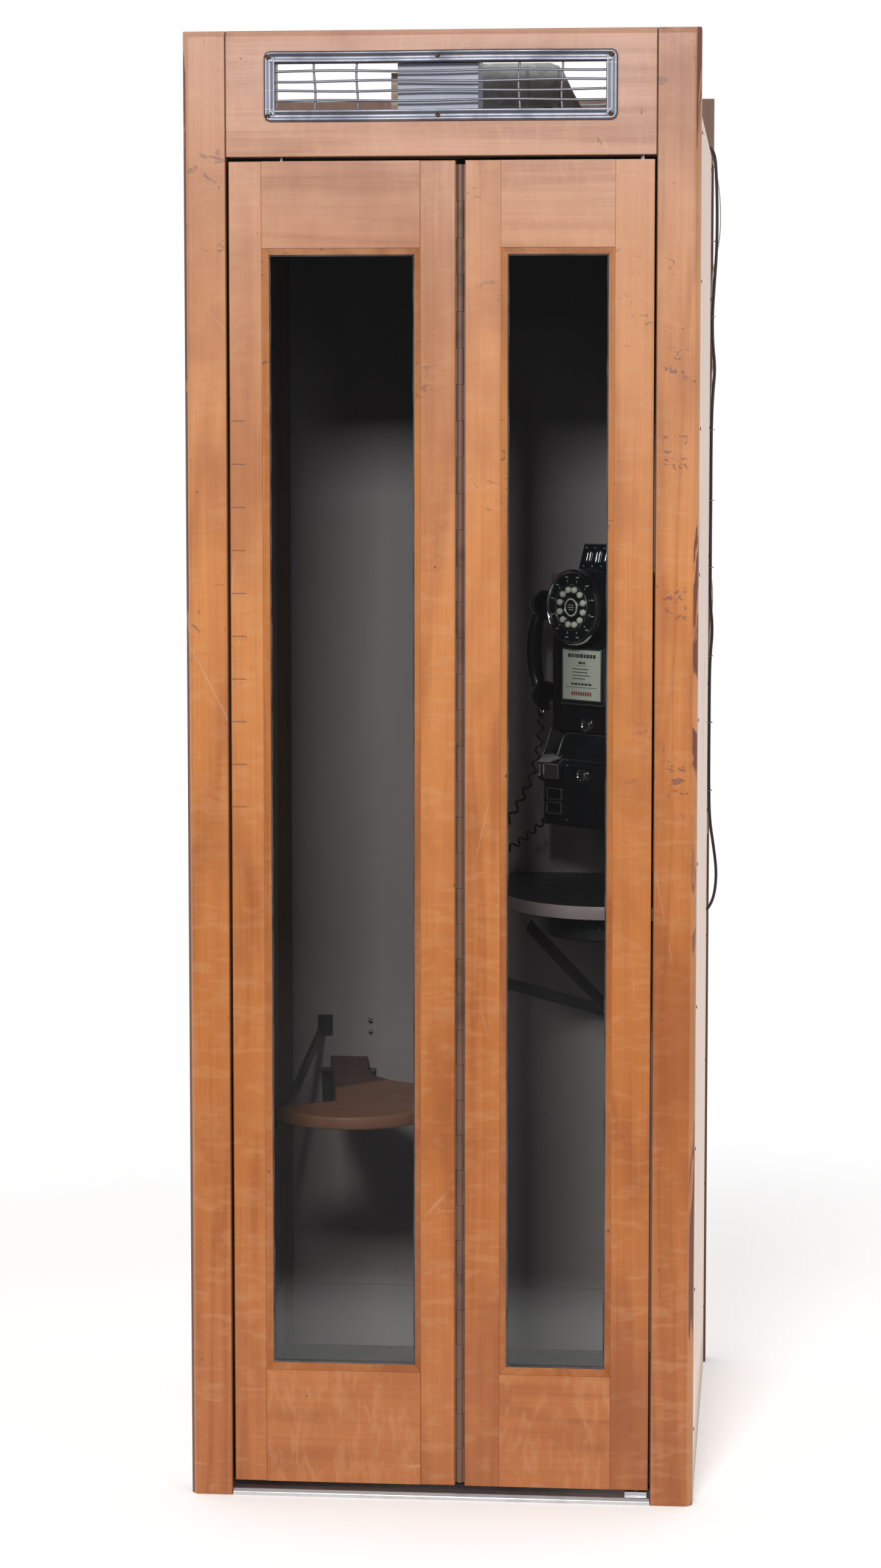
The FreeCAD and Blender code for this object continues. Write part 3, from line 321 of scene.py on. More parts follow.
class Graph:
    # a node tree with one way to add a node: its kind, its settings, its inputs
    def node(self, kind, settings, values):
        made = self.tree.nodes.new(kind)
        for key, setting in settings.items():
            if key == "stops":
                ramp = made.color_ramp
                while len(ramp.elements) < len(setting):
                    ramp.elements.new(0.5)
                for element, (position, colour) in zip(ramp.elements, setting):
                    element.position = position
                    element.color = (*colour, 1.0)
            else:
                setattr(made, key, setting)
        for key, value in values.items():
            socket = made.inputs[key]
            if isinstance(value, Value):
                self.tree.links.new(value.socket, socket)
            elif hasattr(value, "__len__") and len(value) == 3 and socket.type == "RGBA":
                socket.default_value = (*value, 1.0)
            else:
                socket.default_value = value
        return Step(self, made)


class Shade(Graph):
    def __init__(self, name):
        self.material = bpy.data.materials.new(name)
        self.material.use_nodes = True
        self.tree = self.material.node_tree
        self.tree.nodes.clear()
        self.place = self.node("ShaderNodeTexCoord", {}, {}).value("Object")

    def axis(self, name, source=None):
        return self.node("ShaderNodeSeparateXYZ", {}, {0: source or self.place}).value(name)

    def facingUp(self):
        # how far a face looks up
        return self.axis("Z", self.node("ShaderNodeTexCoord", {}, {}).value("Normal"))

    def stretch(self, scale, shift=(0, 0, 0), turn=(0, 0, 0)):
        return self.node("ShaderNodeMapping", {}, {"Vector": self.place, "Scale": scale, "Location": shift,
                                                   "Rotation": turn}).value()

    def noise(self, scale, detail=3.0, rough=0.5, warp=0.0, source=None):
        values = {"Vector": source or self.place, "Scale": scale, "Detail": detail, "Roughness": rough,
                  "Distortion": warp}
        return self.node("ShaderNodeTexNoise", {}, values).value(0)

    def cells(self, scale, feature="F1", output="Distance", source=None):
        return self.node("ShaderNodeTexVoronoi", {"feature": feature},
                         {"Vector": source or self.place, "Scale": scale}).value(output)

    def mix(self, factor, a, b, kind="MIX"):
        return self.node("ShaderNodeMix", {"data_type": "RGBA", "blend_type": kind},
                         {0: factor, 6: a, 7: b}).value(2)

    def ramp(self, factor, stops):
        return self.node("ShaderNodeValToRGB", {"stops": stops}, {0: factor}).value(0)

    def bump(self, height, strength, distance):
        return self.node("ShaderNodeBump", {}, {"Height": height, "Strength": strength,
                                                "Distance": distance}).value()

    def surface(self, **values):
        names = {key.replace("_", " "): value for key, value in values.items()}
        return self.node("ShaderNodeBsdfPrincipled", {}, names).value()

    def done(self, shader):
        self.node("ShaderNodeOutputMaterial", {}, {"Surface": shader})
        return self.material


class Repeat(Graph):
    # a geometry tree that sets one shape on many points, made real and given one material
    def __init__(self, name, inputs):
        self.tree = bpy.data.node_groups.new(name, "GeometryNodeTree")
        self.tree.interface.new_socket("Geometry", in_out="INPUT", socket_type="NodeSocketGeometry")
        self.sockets = {key: self.tree.interface.new_socket(key, in_out="INPUT", socket_type="NodeSocketFloat")
                        for key in inputs}
        self.tree.interface.new_socket("Geometry", in_out="OUTPUT", socket_type="NodeSocketGeometry")
        self.inputs = inputs
        self.source = self.node("NodeGroupInput", {}, {})

    def given(self, name):
        return self.source.value(name)

    def join(self, *parts):
        joined = self.node("GeometryNodeJoinGeometry", {}, {})
        for part in parts:
            self.tree.links.new(part.socket, joined.node.inputs[0])
        return joined.value()

    def finish(self, name, shape, places, turns, material, body, slot, smooth=35.0):
        turn = self.node("GeometryNodeInputNamedAttribute", {"data_type": "FLOAT_VECTOR"},
                         {"Name": "turn"}).value()
        rotation = self.node("FunctionNodeEulerToRotation", {}, {0: turn}).value()
        values = {"Points": self.given("Geometry"), "Instance": shape, "Rotation": rotation}
        onPoints = self.node("GeometryNodeInstanceOnPoints", {}, values).value()
        real = self.node("GeometryNodeRealizeInstances", {}, {0: onPoints}).value()
        painted = self.node("GeometryNodeSetMaterial", {}, {"Geometry": real, "Material": material}).value()
        self.node("NodeGroupOutput", {}, {0: painted})
        mesh = bpy.data.meshes.new(name)
        mesh.from_pydata([tuple(place) for place in places], [], [])
        mesh.attributes.new("turn", "FLOAT_VECTOR", "POINT").data.foreach_set(
            "vector", [number for turn in turns for number in turn])
        obj = newObject(name, mesh)
        modifier = obj.modifiers.new("repeat", "NODES")
        modifier.node_group = self.tree
        for key, number in self.inputs.items():
            modifier[self.sockets[key].identifier] = float(number)
        plain = plainMesh(obj)
        obj.modifiers.remove(modifier)
        obj.data = plain
        plain.name = name
        return finishPiece(obj, body, material, smooth)


def screws(name, places, turns, size, material, body, slot):
    # slotted heads: a disc with two halves standing on it
    g = Repeat(name + "Tree", {"headRadius": size[0], "headHeight": size[1], "slotWidth": size[0] * 0.22})
    radius, height = g.given("headRadius"), g.given("headHeight")
    base = g.node("GeometryNodeMeshCylinder", {}, {"Vertices": 24, "Radius": radius, "Depth": height}).value()
    sweep = {"Resolution": 14, "Radius": radius * 0.93, "Start Angle": math.radians(9),
             "Sweep Angle": math.radians(162)}
    arc = g.node("GeometryNodeCurveArc", {"mode": "RADIUS"}, sweep).value()
    face = g.node("GeometryNodeFillCurve", {}, {"Curve": g.node("GeometryNodeSetSplineCyclic", {}, {
        "Geometry": arc, "Cyclic": True}).value()}).value()
    stand = {"Mesh": face, "Offset Scale": height * 0.5}
    upper = g.node("GeometryNodeExtrudeMesh", {"mode": "FACES"}, stand).value()
    under = g.node("GeometryNodeFlipFaces", {}, {"Mesh": face}).value()
    half = g.node("GeometryNodeMergeByDistance", {}, {"Geometry": g.join(upper, under),
                                                      "Distance": 0.00001}).value()
    lift = g.node("ShaderNodeCombineXYZ", {}, {"Z": height * 0.5}).value()
    raised = g.node("GeometryNodeTransform", {}, {"Geometry": half, "Translation": lift}).value()
    other = g.node("GeometryNodeTransform", {}, {"Geometry": raised, "Rotation": (0, 0, math.pi)}).value()
    return g.finish(name, g.join(base, raised, other), places, turns, material, body, slot)


# ---- finishes

boothHeight = 2.134
# maple tones by height; the pink of the top tone is painted haze of light
wood = {"top": (0.51, 0.270, 0.182), "high": (0.57, 0.255, 0.112), "middle": (0.63, 0.232, 0.058),
        "low": (0.51, 0.165, 0.034), "foot": (0.41, 0.128, 0.030), "shadow": (0.52, 0.36, 0.24),
        "light": (0.66, 0.38, 0.19), "smudge": (0.06, 0.03, 0.02), "ink": (0.09, 0.055, 0.06),
        "seam": (0.06, 0.025, 0.015), "outerEdgeDark": (0.115, 0.03, 0.02), "coat": 0.16}


def maple(name, alongX, shift, lift=0.0, outerEdgeMarks=False, joints=0.0, ticks=False):
    # clear-varnished maple: soft streaks along the grain, faint cross figure, smudges and scratches
    s = Shade(name)
    def run(long, across):
        return s.stretch((long, across, across) if alongX else (across, across, long), shift)
    grain = s.noise(1.0, 3.0, 0.55, 0.5, run(0.7, 7.0))
    streak = s.noise(1.0, 4.0, 0.7, 0.1, run(3.0, 190.0))
    pores = s.noise(1.0, 2.0, 0.6, 0.0, run(26.0, 700.0)).band(0.6, 0.74)
    curl = s.noise(1.0, 2.0, 0.5, 0.8, run(70.0, 22.0))
    rings = (grain * 34.0 + streak * 0.7).sum("SINE") * 0.5 + 0.5
    # colour by height: darker and browner towards the foot, pinker towards the top, where the pink is painted
    # haze of light
    heightTone = s.axis("Z") * (1 / boothHeight) + (s.noise(1.7, 2.0) - 0.5) * 0.16 + lift
    base = s.ramp(heightTone, [(0.0, wood["foot"]), (0.3, wood["low"]), (0.62, wood["middle"]),
                               (0.82, wood["high"]),
                               (1.0, wood["top"])])
    figure = (rings ** 3.0 * 0.34 + streak.band(0.35, 0.7) * 0.22 + pores * 0.24).clamp()
    toned = s.mix(figure, base, s.mix(1.0, base, wood["shadow"], "MULTIPLY"))
    toned = s.mix(curl.band(0.45, 0.72) * 0.16, toned, wood["light"])
    cloud = s.noise(3.6, 4.0, 0.6, 0.4, s.stretch((1, 1, 0.7), shift))
    toned = s.mix(cloud.band(0.46, 0.72) * 0.55, toned, s.mix(1.0, base, wood["shadow"], "MULTIPLY"))
    speck = s.noise(1.0, 2.0, 0.7, 0.0, s.stretch((70, 70, 46), shift)).band(0.735, 0.765)
    toned = s.mix(speck * 0.7, toned, wood["smudge"])
    rubbed = s.noise(1.0, 3.0, 0.6, 1.0, s.stretch((34, 34, 60), shift)).band(0.6, 0.68)
    gate = s.noise(2.4, 1.0, 0.5, 0.0, s.stretch((1, 1, 1.4), shift)).band(0.56, 0.64)
    if not alongX:
        toned = s.mix(rubbed * gate * s.axis("Z").band(0.95, 1.15) * 0.55, toned, wood["ink"])
    tick = s.cells(1.0, "DISTANCE_TO_EDGE", "Distance", s.stretch((6.0, 6.0, 1.3), shift, (0.1, 0.4, 0.2)))
    hair = tick.fade(0.0, 0.006) * s.noise(7.0, 2.0, 0.5, 0.0, s.stretch((1, 1, 1), shift)).band(0.57, 0.66)
    toned = s.mix(hair * 0.35, toned, wood["shadow"])
    if joints:
        seam = (s.axis("X").sum("ABSOLUTE") - joints).sum("ABSOLUTE").fade(0.0006, 0.0022)
        toned = s.mix(seam * 0.75, toned, wood["seam"])
    if ticks:
        spacing = (s.axis("Z") * (1 / 0.062)).sum("FRACT")
        mark = (spacing - 0.5).sum("ABSOLUTE").fade(0.008, 0.02)
        place = s.axis("X")
        reach = place.band(-0.3035, -0.303) * place.fade(-0.284, -0.281) * s.axis("Z").band(1.0, 1.02)
        toned = s.mix(mark * reach * s.axis("Z").fade(1.62, 1.63) * 0.7, toned, wood["ink"])
    if outerEdgeMarks:
        scrawl = s.noise(1.0, 3.0, 0.6, 1.6, s.stretch((52, 52, 74), shift)).band(0.565, 0.6)
        lines = s.noise(1.0, 1.0, 0.5, 0.0, s.stretch((3, 3, 13), shift)).band(0.5, 0.56)
        reach = s.axis("X").band(0.316, 0.322) * s.axis("X").fade(0.350, 0.356)
        height = s.axis("Z").band(0.96, 1.02) * s.axis("Z").fade(1.84, 1.88)
        toned = s.mix(scrawl * lines * reach * height * 0.62, toned, wood["ink"])
        # a lighter strip and dark patches along the outer edges of the stiles
        rim = s.axis("X").sum("ABSOLUTE")
        left = s.axis("X").fade(-0.366, -0.3650)
        right = s.axis("X").band(0.3615, 0.3645)
        patch = s.noise(1.0, 4.0, 0.65, 0.8, s.stretch((16, 16, 3.0), shift))
        toned = s.mix(rim.band(0.3615, 0.3625) * 0.22, toned, wood["light"])
        toned = s.mix((left * patch.band(0.36, 0.42) + right * patch.band(0.52, 0.56)).clamp() * 0.9, toned,
                      wood["outerEdgeDark"])
    rough = 0.36 + s.noise(9.0, 4.0, 0.6) * 0.2 + hair * 0.15
    relief = s.bump(streak + pores * -0.6 - hair, 0.12, 0.0005)
    return s.done(s.surface(Base_Color=toned, Roughness=rough, Normal=relief, Coat_Weight=wood["coat"],
                            Coat_Roughness=0.2))


def barePly(name, shift=(0, 0, 0)):
    s = Shade(name)
    grain = s.noise(1.0, 5.0, 0.6, 0.9, s.stretch((5, 5, 0.8), shift))
    fine = s.noise(1.0, 3.0, 0.6, 0.0, s.stretch((160, 160, 3), shift))
    rings = (grain * 24.0).sum("SINE") * 0.5 + 0.5
    tone = s.mix((rings * 0.22 + fine * 0.3).clamp(), (0.90, 0.76, 0.68), (0.76, 0.55, 0.44))
    stain = s.noise(2.4, 4.0, 0.6, 0.5).band(0.55, 0.78)
    tone = s.mix(stain * 0.3, tone, (0.42, 0.26, 0.19))
    foot = s.axis("Z").fade(0.0, 0.12)
    tone = s.mix(foot * 0.45, tone, (0.18, 0.12, 0.09))
    up = s.facingUp().sum("ABSOLUTE").band(0.9, 0.95)
    layers = (s.axis("X") * 1150.0).sum("SINE").band(-0.2, 0.2)
    tone = s.mix(up * layers * 0.55, tone, (0.26, 0.15, 0.10))
    return s.done(s.surface(Base_Color=tone, Roughness=0.62 + fine * 0.2, Normal=s.bump(fine, 0.25, 0.0005)))


def batten():
    s = Shade("brownBatten")
    fine = s.noise(1.0, 4.0, 0.65, 0.3, s.stretch((60, 60, 2.0)))
    wear = s.noise(8.0, 4.0, 0.7).band(0.62, 0.75)
    tone = s.mix(fine, (0.10, 0.045, 0.03), (0.22, 0.11, 0.07))
    tone = s.mix(wear * 0.5, tone, (0.45, 0.30, 0.22))
    return s.done(s.surface(Base_Color=tone, Roughness=0.55, Normal=s.bump(fine, 0.4, 0.0006)))


def satinPaint(name, colour, dark, rough=0.4, scale=3.0, chips=0.0, bumpSize=0.0003):
    # brushed or rolled paint with dull patches and a few chips
    s = Shade(name)
    patch = s.noise(scale, 4.0, 0.6, 0.4)
    fine = s.noise(90.0, 3.0, 0.6)
    tone = s.mix(patch.band(0.35, 0.7), colour, dark)
    if chips:
        chip = s.noise(34.0, 3.0, 0.7).band(0.66, 0.7)
        tone = s.mix(chip * chips, tone, (0.5, 0.46, 0.42))
    roughness = rough + (patch - 0.5) * 0.2 + fine * 0.06
    return s.done(s.surface(Base_Color=tone, Roughness=roughness, Normal=s.bump(fine, 0.25, bumpSize)))


def lining():
    # taupe painted hardboard, with painted shade that darkens it towards the ceiling
    s = Shade("taupeLining")
    height = s.axis("Z")
    roll = s.noise(1.0, 4.0, 0.55, 0.5, s.stretch((4, 4, 1.1)))
    fine = s.noise(150.0, 2.0, 0.6)
    # painted shade: above 0.9 m the taupe darkens towards the ceiling, where little light reaches
    tone = s.mix(height.band(0.9, 1.9), (0.33, 0.265, 0.27), (0.20, 0.165, 0.17))
    tone = s.mix(roll.band(0.4, 0.72) * 0.35, tone, (0.20, 0.165, 0.17))
    scuff = s.noise(1.0, 4.0, 0.7, 0.6, s.stretch((16, 16, 30))).band(0.66, 0.72) * height.fade(0.1, 0.6)
    tone = s.mix(scuff * 0.6, tone, (0.08, 0.065, 0.06))
    return s.done(s.surface(Base_Color=tone, Roughness=0.42 + roll * 0.16, Normal=s.bump(fine, 0.05, 0.0003)))


def metal(name, colour, rough, grain=(1, 1, 1), spangle=0.0, tarnish=0.0, metallic=1.0, dark=(0.1, 0.08, 0.07)):
    s = Shade(name)
    fine = s.noise(1.0, 3.0, 0.6, 0.0, s.stretch(tuple(260.0 * g for g in grain)))
    patch = s.noise(12.0, 4.0, 0.6)
    tone = s.mix(fine * 0.3, colour, tuple(c * 0.72 for c in colour))
    if spangle:
        cell = s.cells(55.0, "F1", "Color")
        tone = s.mix(s.axis("X", cell) * spangle, tone, tuple(min(1.0, c * 1.55) for c in colour))
    if tarnish:
        tone = s.mix(patch.band(0.5, 0.72) * tarnish, tone, dark)
    roughness = rough + patch * 0.12 + fine * 0.08
    return s.done(s.surface(Base_Color=tone, Roughness=roughness, Metallic=metallic,
                            Normal=s.bump(fine, 0.12, 0.0002)))


def chrome():
    s = Shade("polishedChrome")
    haze = s.noise(60.0, 4.0, 0.7).band(0.5, 0.8)
    tone = s.mix(haze * 0.35, (0.82, 0.82, 0.84), (0.45, 0.43, 0.42))
    return s.done(s.surface(Base_Color=tone, Roughness=0.06 + haze * 0.22, Metallic=1.0))


def enamel(name="blackEnamel", rough=0.13):
    # gloss black, with a film of dust on faces that look up
    s = Shade(name)
    dust = s.noise(38.0, 5.0, 0.7).band(0.45, 0.8)
    up = s.facingUp().band(0.2, 0.9)
    film = (dust * 0.012 + up * dust * 0.10).clamp()
    tone = s.mix(film, (0.010, 0.010, 0.012), (0.26, 0.24, 0.23))
    return s.done(s.surface(Base_Color=tone, Roughness=rough + dust * 0.1 + film * 0.3))


def plastic(name, colour, rough, worn):
    s = Shade(name)
    soil = s.noise(70.0, 4.0, 0.65).band(0.45, 0.8)
    tone = s.mix(soil * 0.35, colour, worn)
    return s.done(s.surface(Base_Color=tone, Roughness=rough + soil * 0.15, Coat_Weight=0.3))


def doorGlass():
    # clear sheet: mirror by angle, a little dust, more of it near the foot and in wipe marks
    s = Shade("doorGlass")
    wipe = s.noise(1.0, 4.0, 0.6, 1.4, s.stretch((7, 7, 2.0), (3, 0, 1))).band(0.52, 0.85)
    speck = s.noise(240.0, 2.0, 0.5).band(0.72, 0.78)
    foot = s.axis("Z").fade(0.19, 0.7)
    film = (wipe * 0.05 + speck * 0.2 + foot * 0.03 + 0.01).clamp()
    clear = s.node("ShaderNodeBsdfTransparent", {}, {"Color": (0.93, 0.955, 0.95)}).value()
    glossy = s.surface(Base_Color=(0.16, 0.155, 0.16), Roughness=0.03, Metallic=0.85)
    fresnel = s.node("ShaderNodeFresnel", {}, {"IOR": 1.5}).value()
    mirror = s.surface(Base_Color=(0.95, 0.95, 0.95), Roughness=0.02, Metallic=1.0)
    dusty = s.node("ShaderNodeMixShader", {}, {0: film, 1: clear, 2: glossy}).value()
    return s.done(s.node("ShaderNodeMixShader", {}, {0: (fresnel * 0.8).clamp(), 1: dusty, 2: mirror}).value())


def plywoodSeat():
    s = Shade("seatPlywood")
    flow = s.noise(1.0, 4.0, 0.6, 1.0, s.stretch((3.0, 12.0, 12.0), (2, 0, 0)))
    rings = (flow * 18.0).sum("SINE") * 0.5 + 0.5
    fine = s.noise(1.0, 3.0, 0.6, 0.0, s.stretch((6, 170, 170)))
    tone = s.mix((rings * 0.3 + fine * 0.3).clamp(), (0.36, 0.115, 0.038), (0.20, 0.055, 0.018))
    worn = s.noise(1.0, 3.0, 0.6, 0.4, s.stretch((7, 7, 7), (1, 4, 0))).band(0.4, 0.62)
    tone = s.mix(worn * 0.3, tone, (0.36, 0.22, 0.12))
    # darker and duller over the rear left part of the seat, round the tongue
    rearLeftPart = (s.axis("Y") - (s.axis("X") + 0.264) * 1.2).band(0.03, 0.08)
    tone = s.mix(rearLeftPart * 0.9, tone, (0.085, 0.022, 0.016))
    flat = s.facingUp().sum("ABSOLUTE").fade(0.5, 0.7)
    layers = (s.axis("Z") * 2100.0).sum("SINE").band(-0.3, 0.3)
    tone = s.mix(flat * 0.7, tone, (0.27, 0.10, 0.058))
    tone = s.mix(flat * layers * 0.5, tone, (0.20, 0.10, 0.06))
    return s.done(s.surface(Base_Color=tone, Roughness=0.4 + worn * 0.2 + rearLeftPart * 0.2, Coat_Weight=0.1,
                            Coat_Roughness=0.2,
                            Normal=s.bump(fine, 0.12, 0.0004)))


def shelfFinish():
    # dark laminate on top, taupe band round the edge
    s = Shade("shelfFinish")
    up = s.facingUp().sum("ABSOLUTE").band(0.5, 0.7)
    fine = s.noise(120.0, 3.0, 0.6)
    wear = s.noise(14.0, 4.0, 0.6, 0.5).band(0.5, 0.75)
    edge = s.mix(wear * 0.3, (0.40, 0.31, 0.31), (0.24, 0.17, 0.16))
    top = s.mix(wear * 0.35, (0.028, 0.024, 0.026), (0.10, 0.09, 0.09))
    return s.done(s.surface(Base_Color=s.mix(up, edge, top), Roughness=0.28 + fine * 0.15 + wear * 0.1))


def grille():
    # dull blue-grey pressed sheet: dirt in the hollows, scratches, rust freckles
    s = Shade("greyVentSteel")
    patch = s.noise(9.0, 5.0, 0.65, 0.4)
    fine = s.noise(1.0, 3.0, 0.6, 0.0, s.stretch((60, 60, 200)))
    tone = s.mix(patch.band(0.38, 0.66), (0.185, 0.19, 0.225), (0.105, 0.11, 0.135))
    rust = s.noise(46.0, 4.0, 0.7).band(0.64, 0.72)
    tone = s.mix(rust * 0.65, tone, (0.16, 0.07, 0.035))
    scrape = s.noise(1.0, 2.0, 0.6, 0.3, s.stretch((6, 30, 260))).band(0.66, 0.72)
    tone = s.mix(scrape * 0.4, tone, (0.55, 0.55, 0.58))
    return s.done(s.surface(Base_Color=tone, Roughness=0.34 + patch * 0.2, Metallic=0.85,
                            Normal=s.bump(patch + fine * 0.2, 0.3, 0.0006)))


print("finishes")
stileMaple = maple("mapleUpright", False, (6.1, 2.2, 0.4), -0.03, outerEdgeMarks=True, joints=0.308)
railMaple = maple("mapleRail", True, (2.2, 5.0, 1.7), 0.02)
headerMaple = maple("mapleHeader", True, (7.7, 1.0, 3.3), 0.02, joints=0.308)
leafMapleA = maple("mapleLeafA", False, (3.9, 8.0, 2.6), 0.02, ticks=True)
leafMapleB = maple("mapleLeafB", False, (9.4, 3.1, 7.2), -0.03)
beadMaple = maple("mapleBead", False, (5.5, 5.1, 1.2), -0.06)
ply = barePly("barePly")
brown = batten()
taupe = lining()
glass = doorGlass()
aluminium = metal("wornAluminium", (0.78, 0.77, 0.78), 0.3, (0.05, 1, 1), 0, 0.35, 1.0, (0.3, 0.27, 0.25))
ventSteel = grille()
zinc = metal("brightSteel", (0.58, 0.58, 0.6), 0.28, (1, 1, 0.1), 0, 0.3)
hingeSteel = metal("hingeSteel", (0.19, 0.11, 0.08), 0.48, (1, 1, 0.2), 0, 0.5, 0.6, (0.05, 0.03, 0.02))
galvanised = metal("galvanisedSheet", (0.27, 0.285, 0.28), 0.55, (1, 1, 1), 0.8, 0.3, 0.45, (0.15, 0.15, 0.15))
lampPaint = satinPaint("lampPaint", (0.34, 0.36, 0.44), (0.27, 0.29, 0.36), 0.45, 6.0, 0.5)
blackSteel = satinPaint("blackSteel", (0.012, 0.012, 0.013), (0.03, 0.028, 0.027), 0.35, 12.0, 0.15)
darkCeiling = satinPaint("darkCeiling", (0.06, 0.055, 0.055), (0.10, 0.09, 0.09), 0.5, 4.0)
floorCover = satinPaint("floorCover", (0.13, 0.115, 0.115), (0.07, 0.06, 0.06), 0.35, 9.0, 0.25)
lensMilk = plastic("lensMilk", (0.78, 0.78, 0.72), 0.35, (0.5, 0.47, 0.4))
nylon = plastic("whiteNylon", (0.75, 0.74, 0.7), 0.45, (0.4, 0.38, 0.33))
bright = chrome()
blackGloss = enamel()
# lighter grey metal for the telephone's beading and trim: painted highlight, standing in for edges that catch
# the light
edgeHighlightGrey = metal("edgeHighlightGrey", (0.20, 0.20, 0.21), 0.22, (1, 1, 1), 0, 0.5, 0.8, (0.02, 0.02, 0.02))
blackPlastic = plastic("blackPlastic", (0.010, 0.010, 0.011), 0.16, (0.05, 0.05, 0.05))
cream = plastic("creamPlastic", (0.80, 0.76, 0.64), 0.25, (0.60, 0.54, 0.40))
cordBlack = plastic("cordBlack", (0.012, 0.012, 0.013), 0.4, (0.06, 0.055, 0.05))
whitePrint = plastic("whitePrint", (0.50, 0.51, 0.53), 0.5, (0.34, 0.34, 0.34))
cardPaper = plastic("cardPaper", (0.72, 0.71, 0.60), 0.5, (0.55, 0.52, 0.42))
inkGrey = plastic("inkGrey", (0.055, 0.055, 0.06), 0.6, (0.12, 0.12, 0.12))
inkRed = plastic("inkRed", (0.42, 0.06, 0.06), 0.6, (0.3, 0.1, 0.1))
brass = metal("brassScrew", (0.72, 0.52, 0.24), 0.28, (1, 1, 1), 0, 0.4)
beige = satinPaint("lampBatten", (0.52, 0.42, 0.32), (0.36, 0.27, 0.20), 0.7, 20.0)
paleWire = plastic("paleWire", (0.66, 0.62, 0.56), 0.5, (0.36, 0.32, 0.28))
wireSteel = metal("ventWireSteel", (0.22, 0.22, 0.25), 0.34, (1, 1, 1), 0, 0.3, 0.7)
darkChrome = metal("darkChrome", (0.36, 0.36, 0.38), 0.16)
# near-black for the handset's holes: painted shade
paintedHoleShade = plastic("paintedHoleShade", (0.003, 0.003, 0.003), 0.9, (0.01, 0.01, 0.01))
putty = satinPaint("glazingPutty", (0.085, 0.08, 0.082), (0.03, 0.026, 0.026), 0.7, 14.0)
seatWood = plywoodSeat()
shelfSkin = shelfFinish()


# ---- fixed CAD nodes that keep their shape

keptNodes = {
    "lead_leaf_glass": glass, "jamb_leaf_glass": glass, "side_panels": ply, "rear_panel": ply,
    "rear_frame": brown,
    "wall_lining": taupe, "floor_board": floorCover, "ceiling_board": darkCeiling, "door_track": zinc,
    "pivot_brackets": zinc, "pivot_pins": zinc, "guide_pin": zinc, "guide_roller": nylon,
    "hinge_jamb_half": hingeSteel, "hinge_lead_half": hingeSteel, "lamp_lens": lensMilk,
    "fan_housing": galvanised, "fan_rotor": zinc, "shelf_braces": blackSteel,
    "phone_board": taupe, "coin_return_flap": bright}
for nodeName, finish in keptNodes.items():
    paintNode(nodeName, finish)

easedNodes = {
    "header": (1.2, headerMaple, "varnished_maple"),
    "lead_leaf_stiles": (1.5, leafMapleA, "varnished_maple"),
    "lead_leaf_rails": (0.25, railMaple, "varnished_maple"),
    "jamb_leaf_stiles": (1.5, leafMapleB, "varnished_maple"),
    "jamb_leaf_rails": (0.25, railMaple, "varnished_maple"),
    "lead_leaf_beads": (0.4, beadMaple, "varnished_maple"),
    "jamb_leaf_beads": (0.4, beadMaple, "varnished_maple"),
    "threshold": (1.0, aluminium, "worn_aluminium"), "lamp_housing": (2.0, lampPaint, "grey_blue_paint"),
    "seat_board": (3.0, seatWood, "seat_plywood"), "seat_stay": (1.2, blackSteel, "black_steel"),
    "shelf_board": (1.5, shelfSkin, "shelf_board"), "shelf_tray": (5.0, blackSteel, "black_steel"),
    "phone_lower_case": (2.0, blackGloss, "black_enamel"), "vault_door": (1.0, blackGloss, "black_enamel"),
    "coin_head": (3.0, blackGloss, "black_enamel"), "phone_upper_case": (1.0, blackGloss, "black_enamel"),
    "front_stiles": (1.8, stileMaple, "varnished_maple")}
for nodeName, (width, finish, slot) in easedNodes.items():
    softened(nodeName, width * mm, finish)
print("frame and leaves")


# ---- vent grille: dented stamped frame, round wires, six screws

vent = {"halfWidth": 0.244, "halfHeight": 0.0415, "middle": 2.0545, "rows": (2.0343, 2.0482, 2.0618, 2.0758),
        "columns": (-0.180, -0.119, 0.112, 0.173), "wire": 0.0018, "face": -0.4354}


def dented(point, amount):
    wave = math.sin(point.x * 23.0) * 0.5 + math.sin(point.x * 9.0 + 1.0) + 0.6 * math.sin(point.z * 60.0)
    point.y -= amount * (0.5 + 0.4 * wave)
    point.z += amount * 0.6 * math.sin(point.x * 17.0 + 0.6) * (1.0 if point.z > vent["middle"] else 0.5)


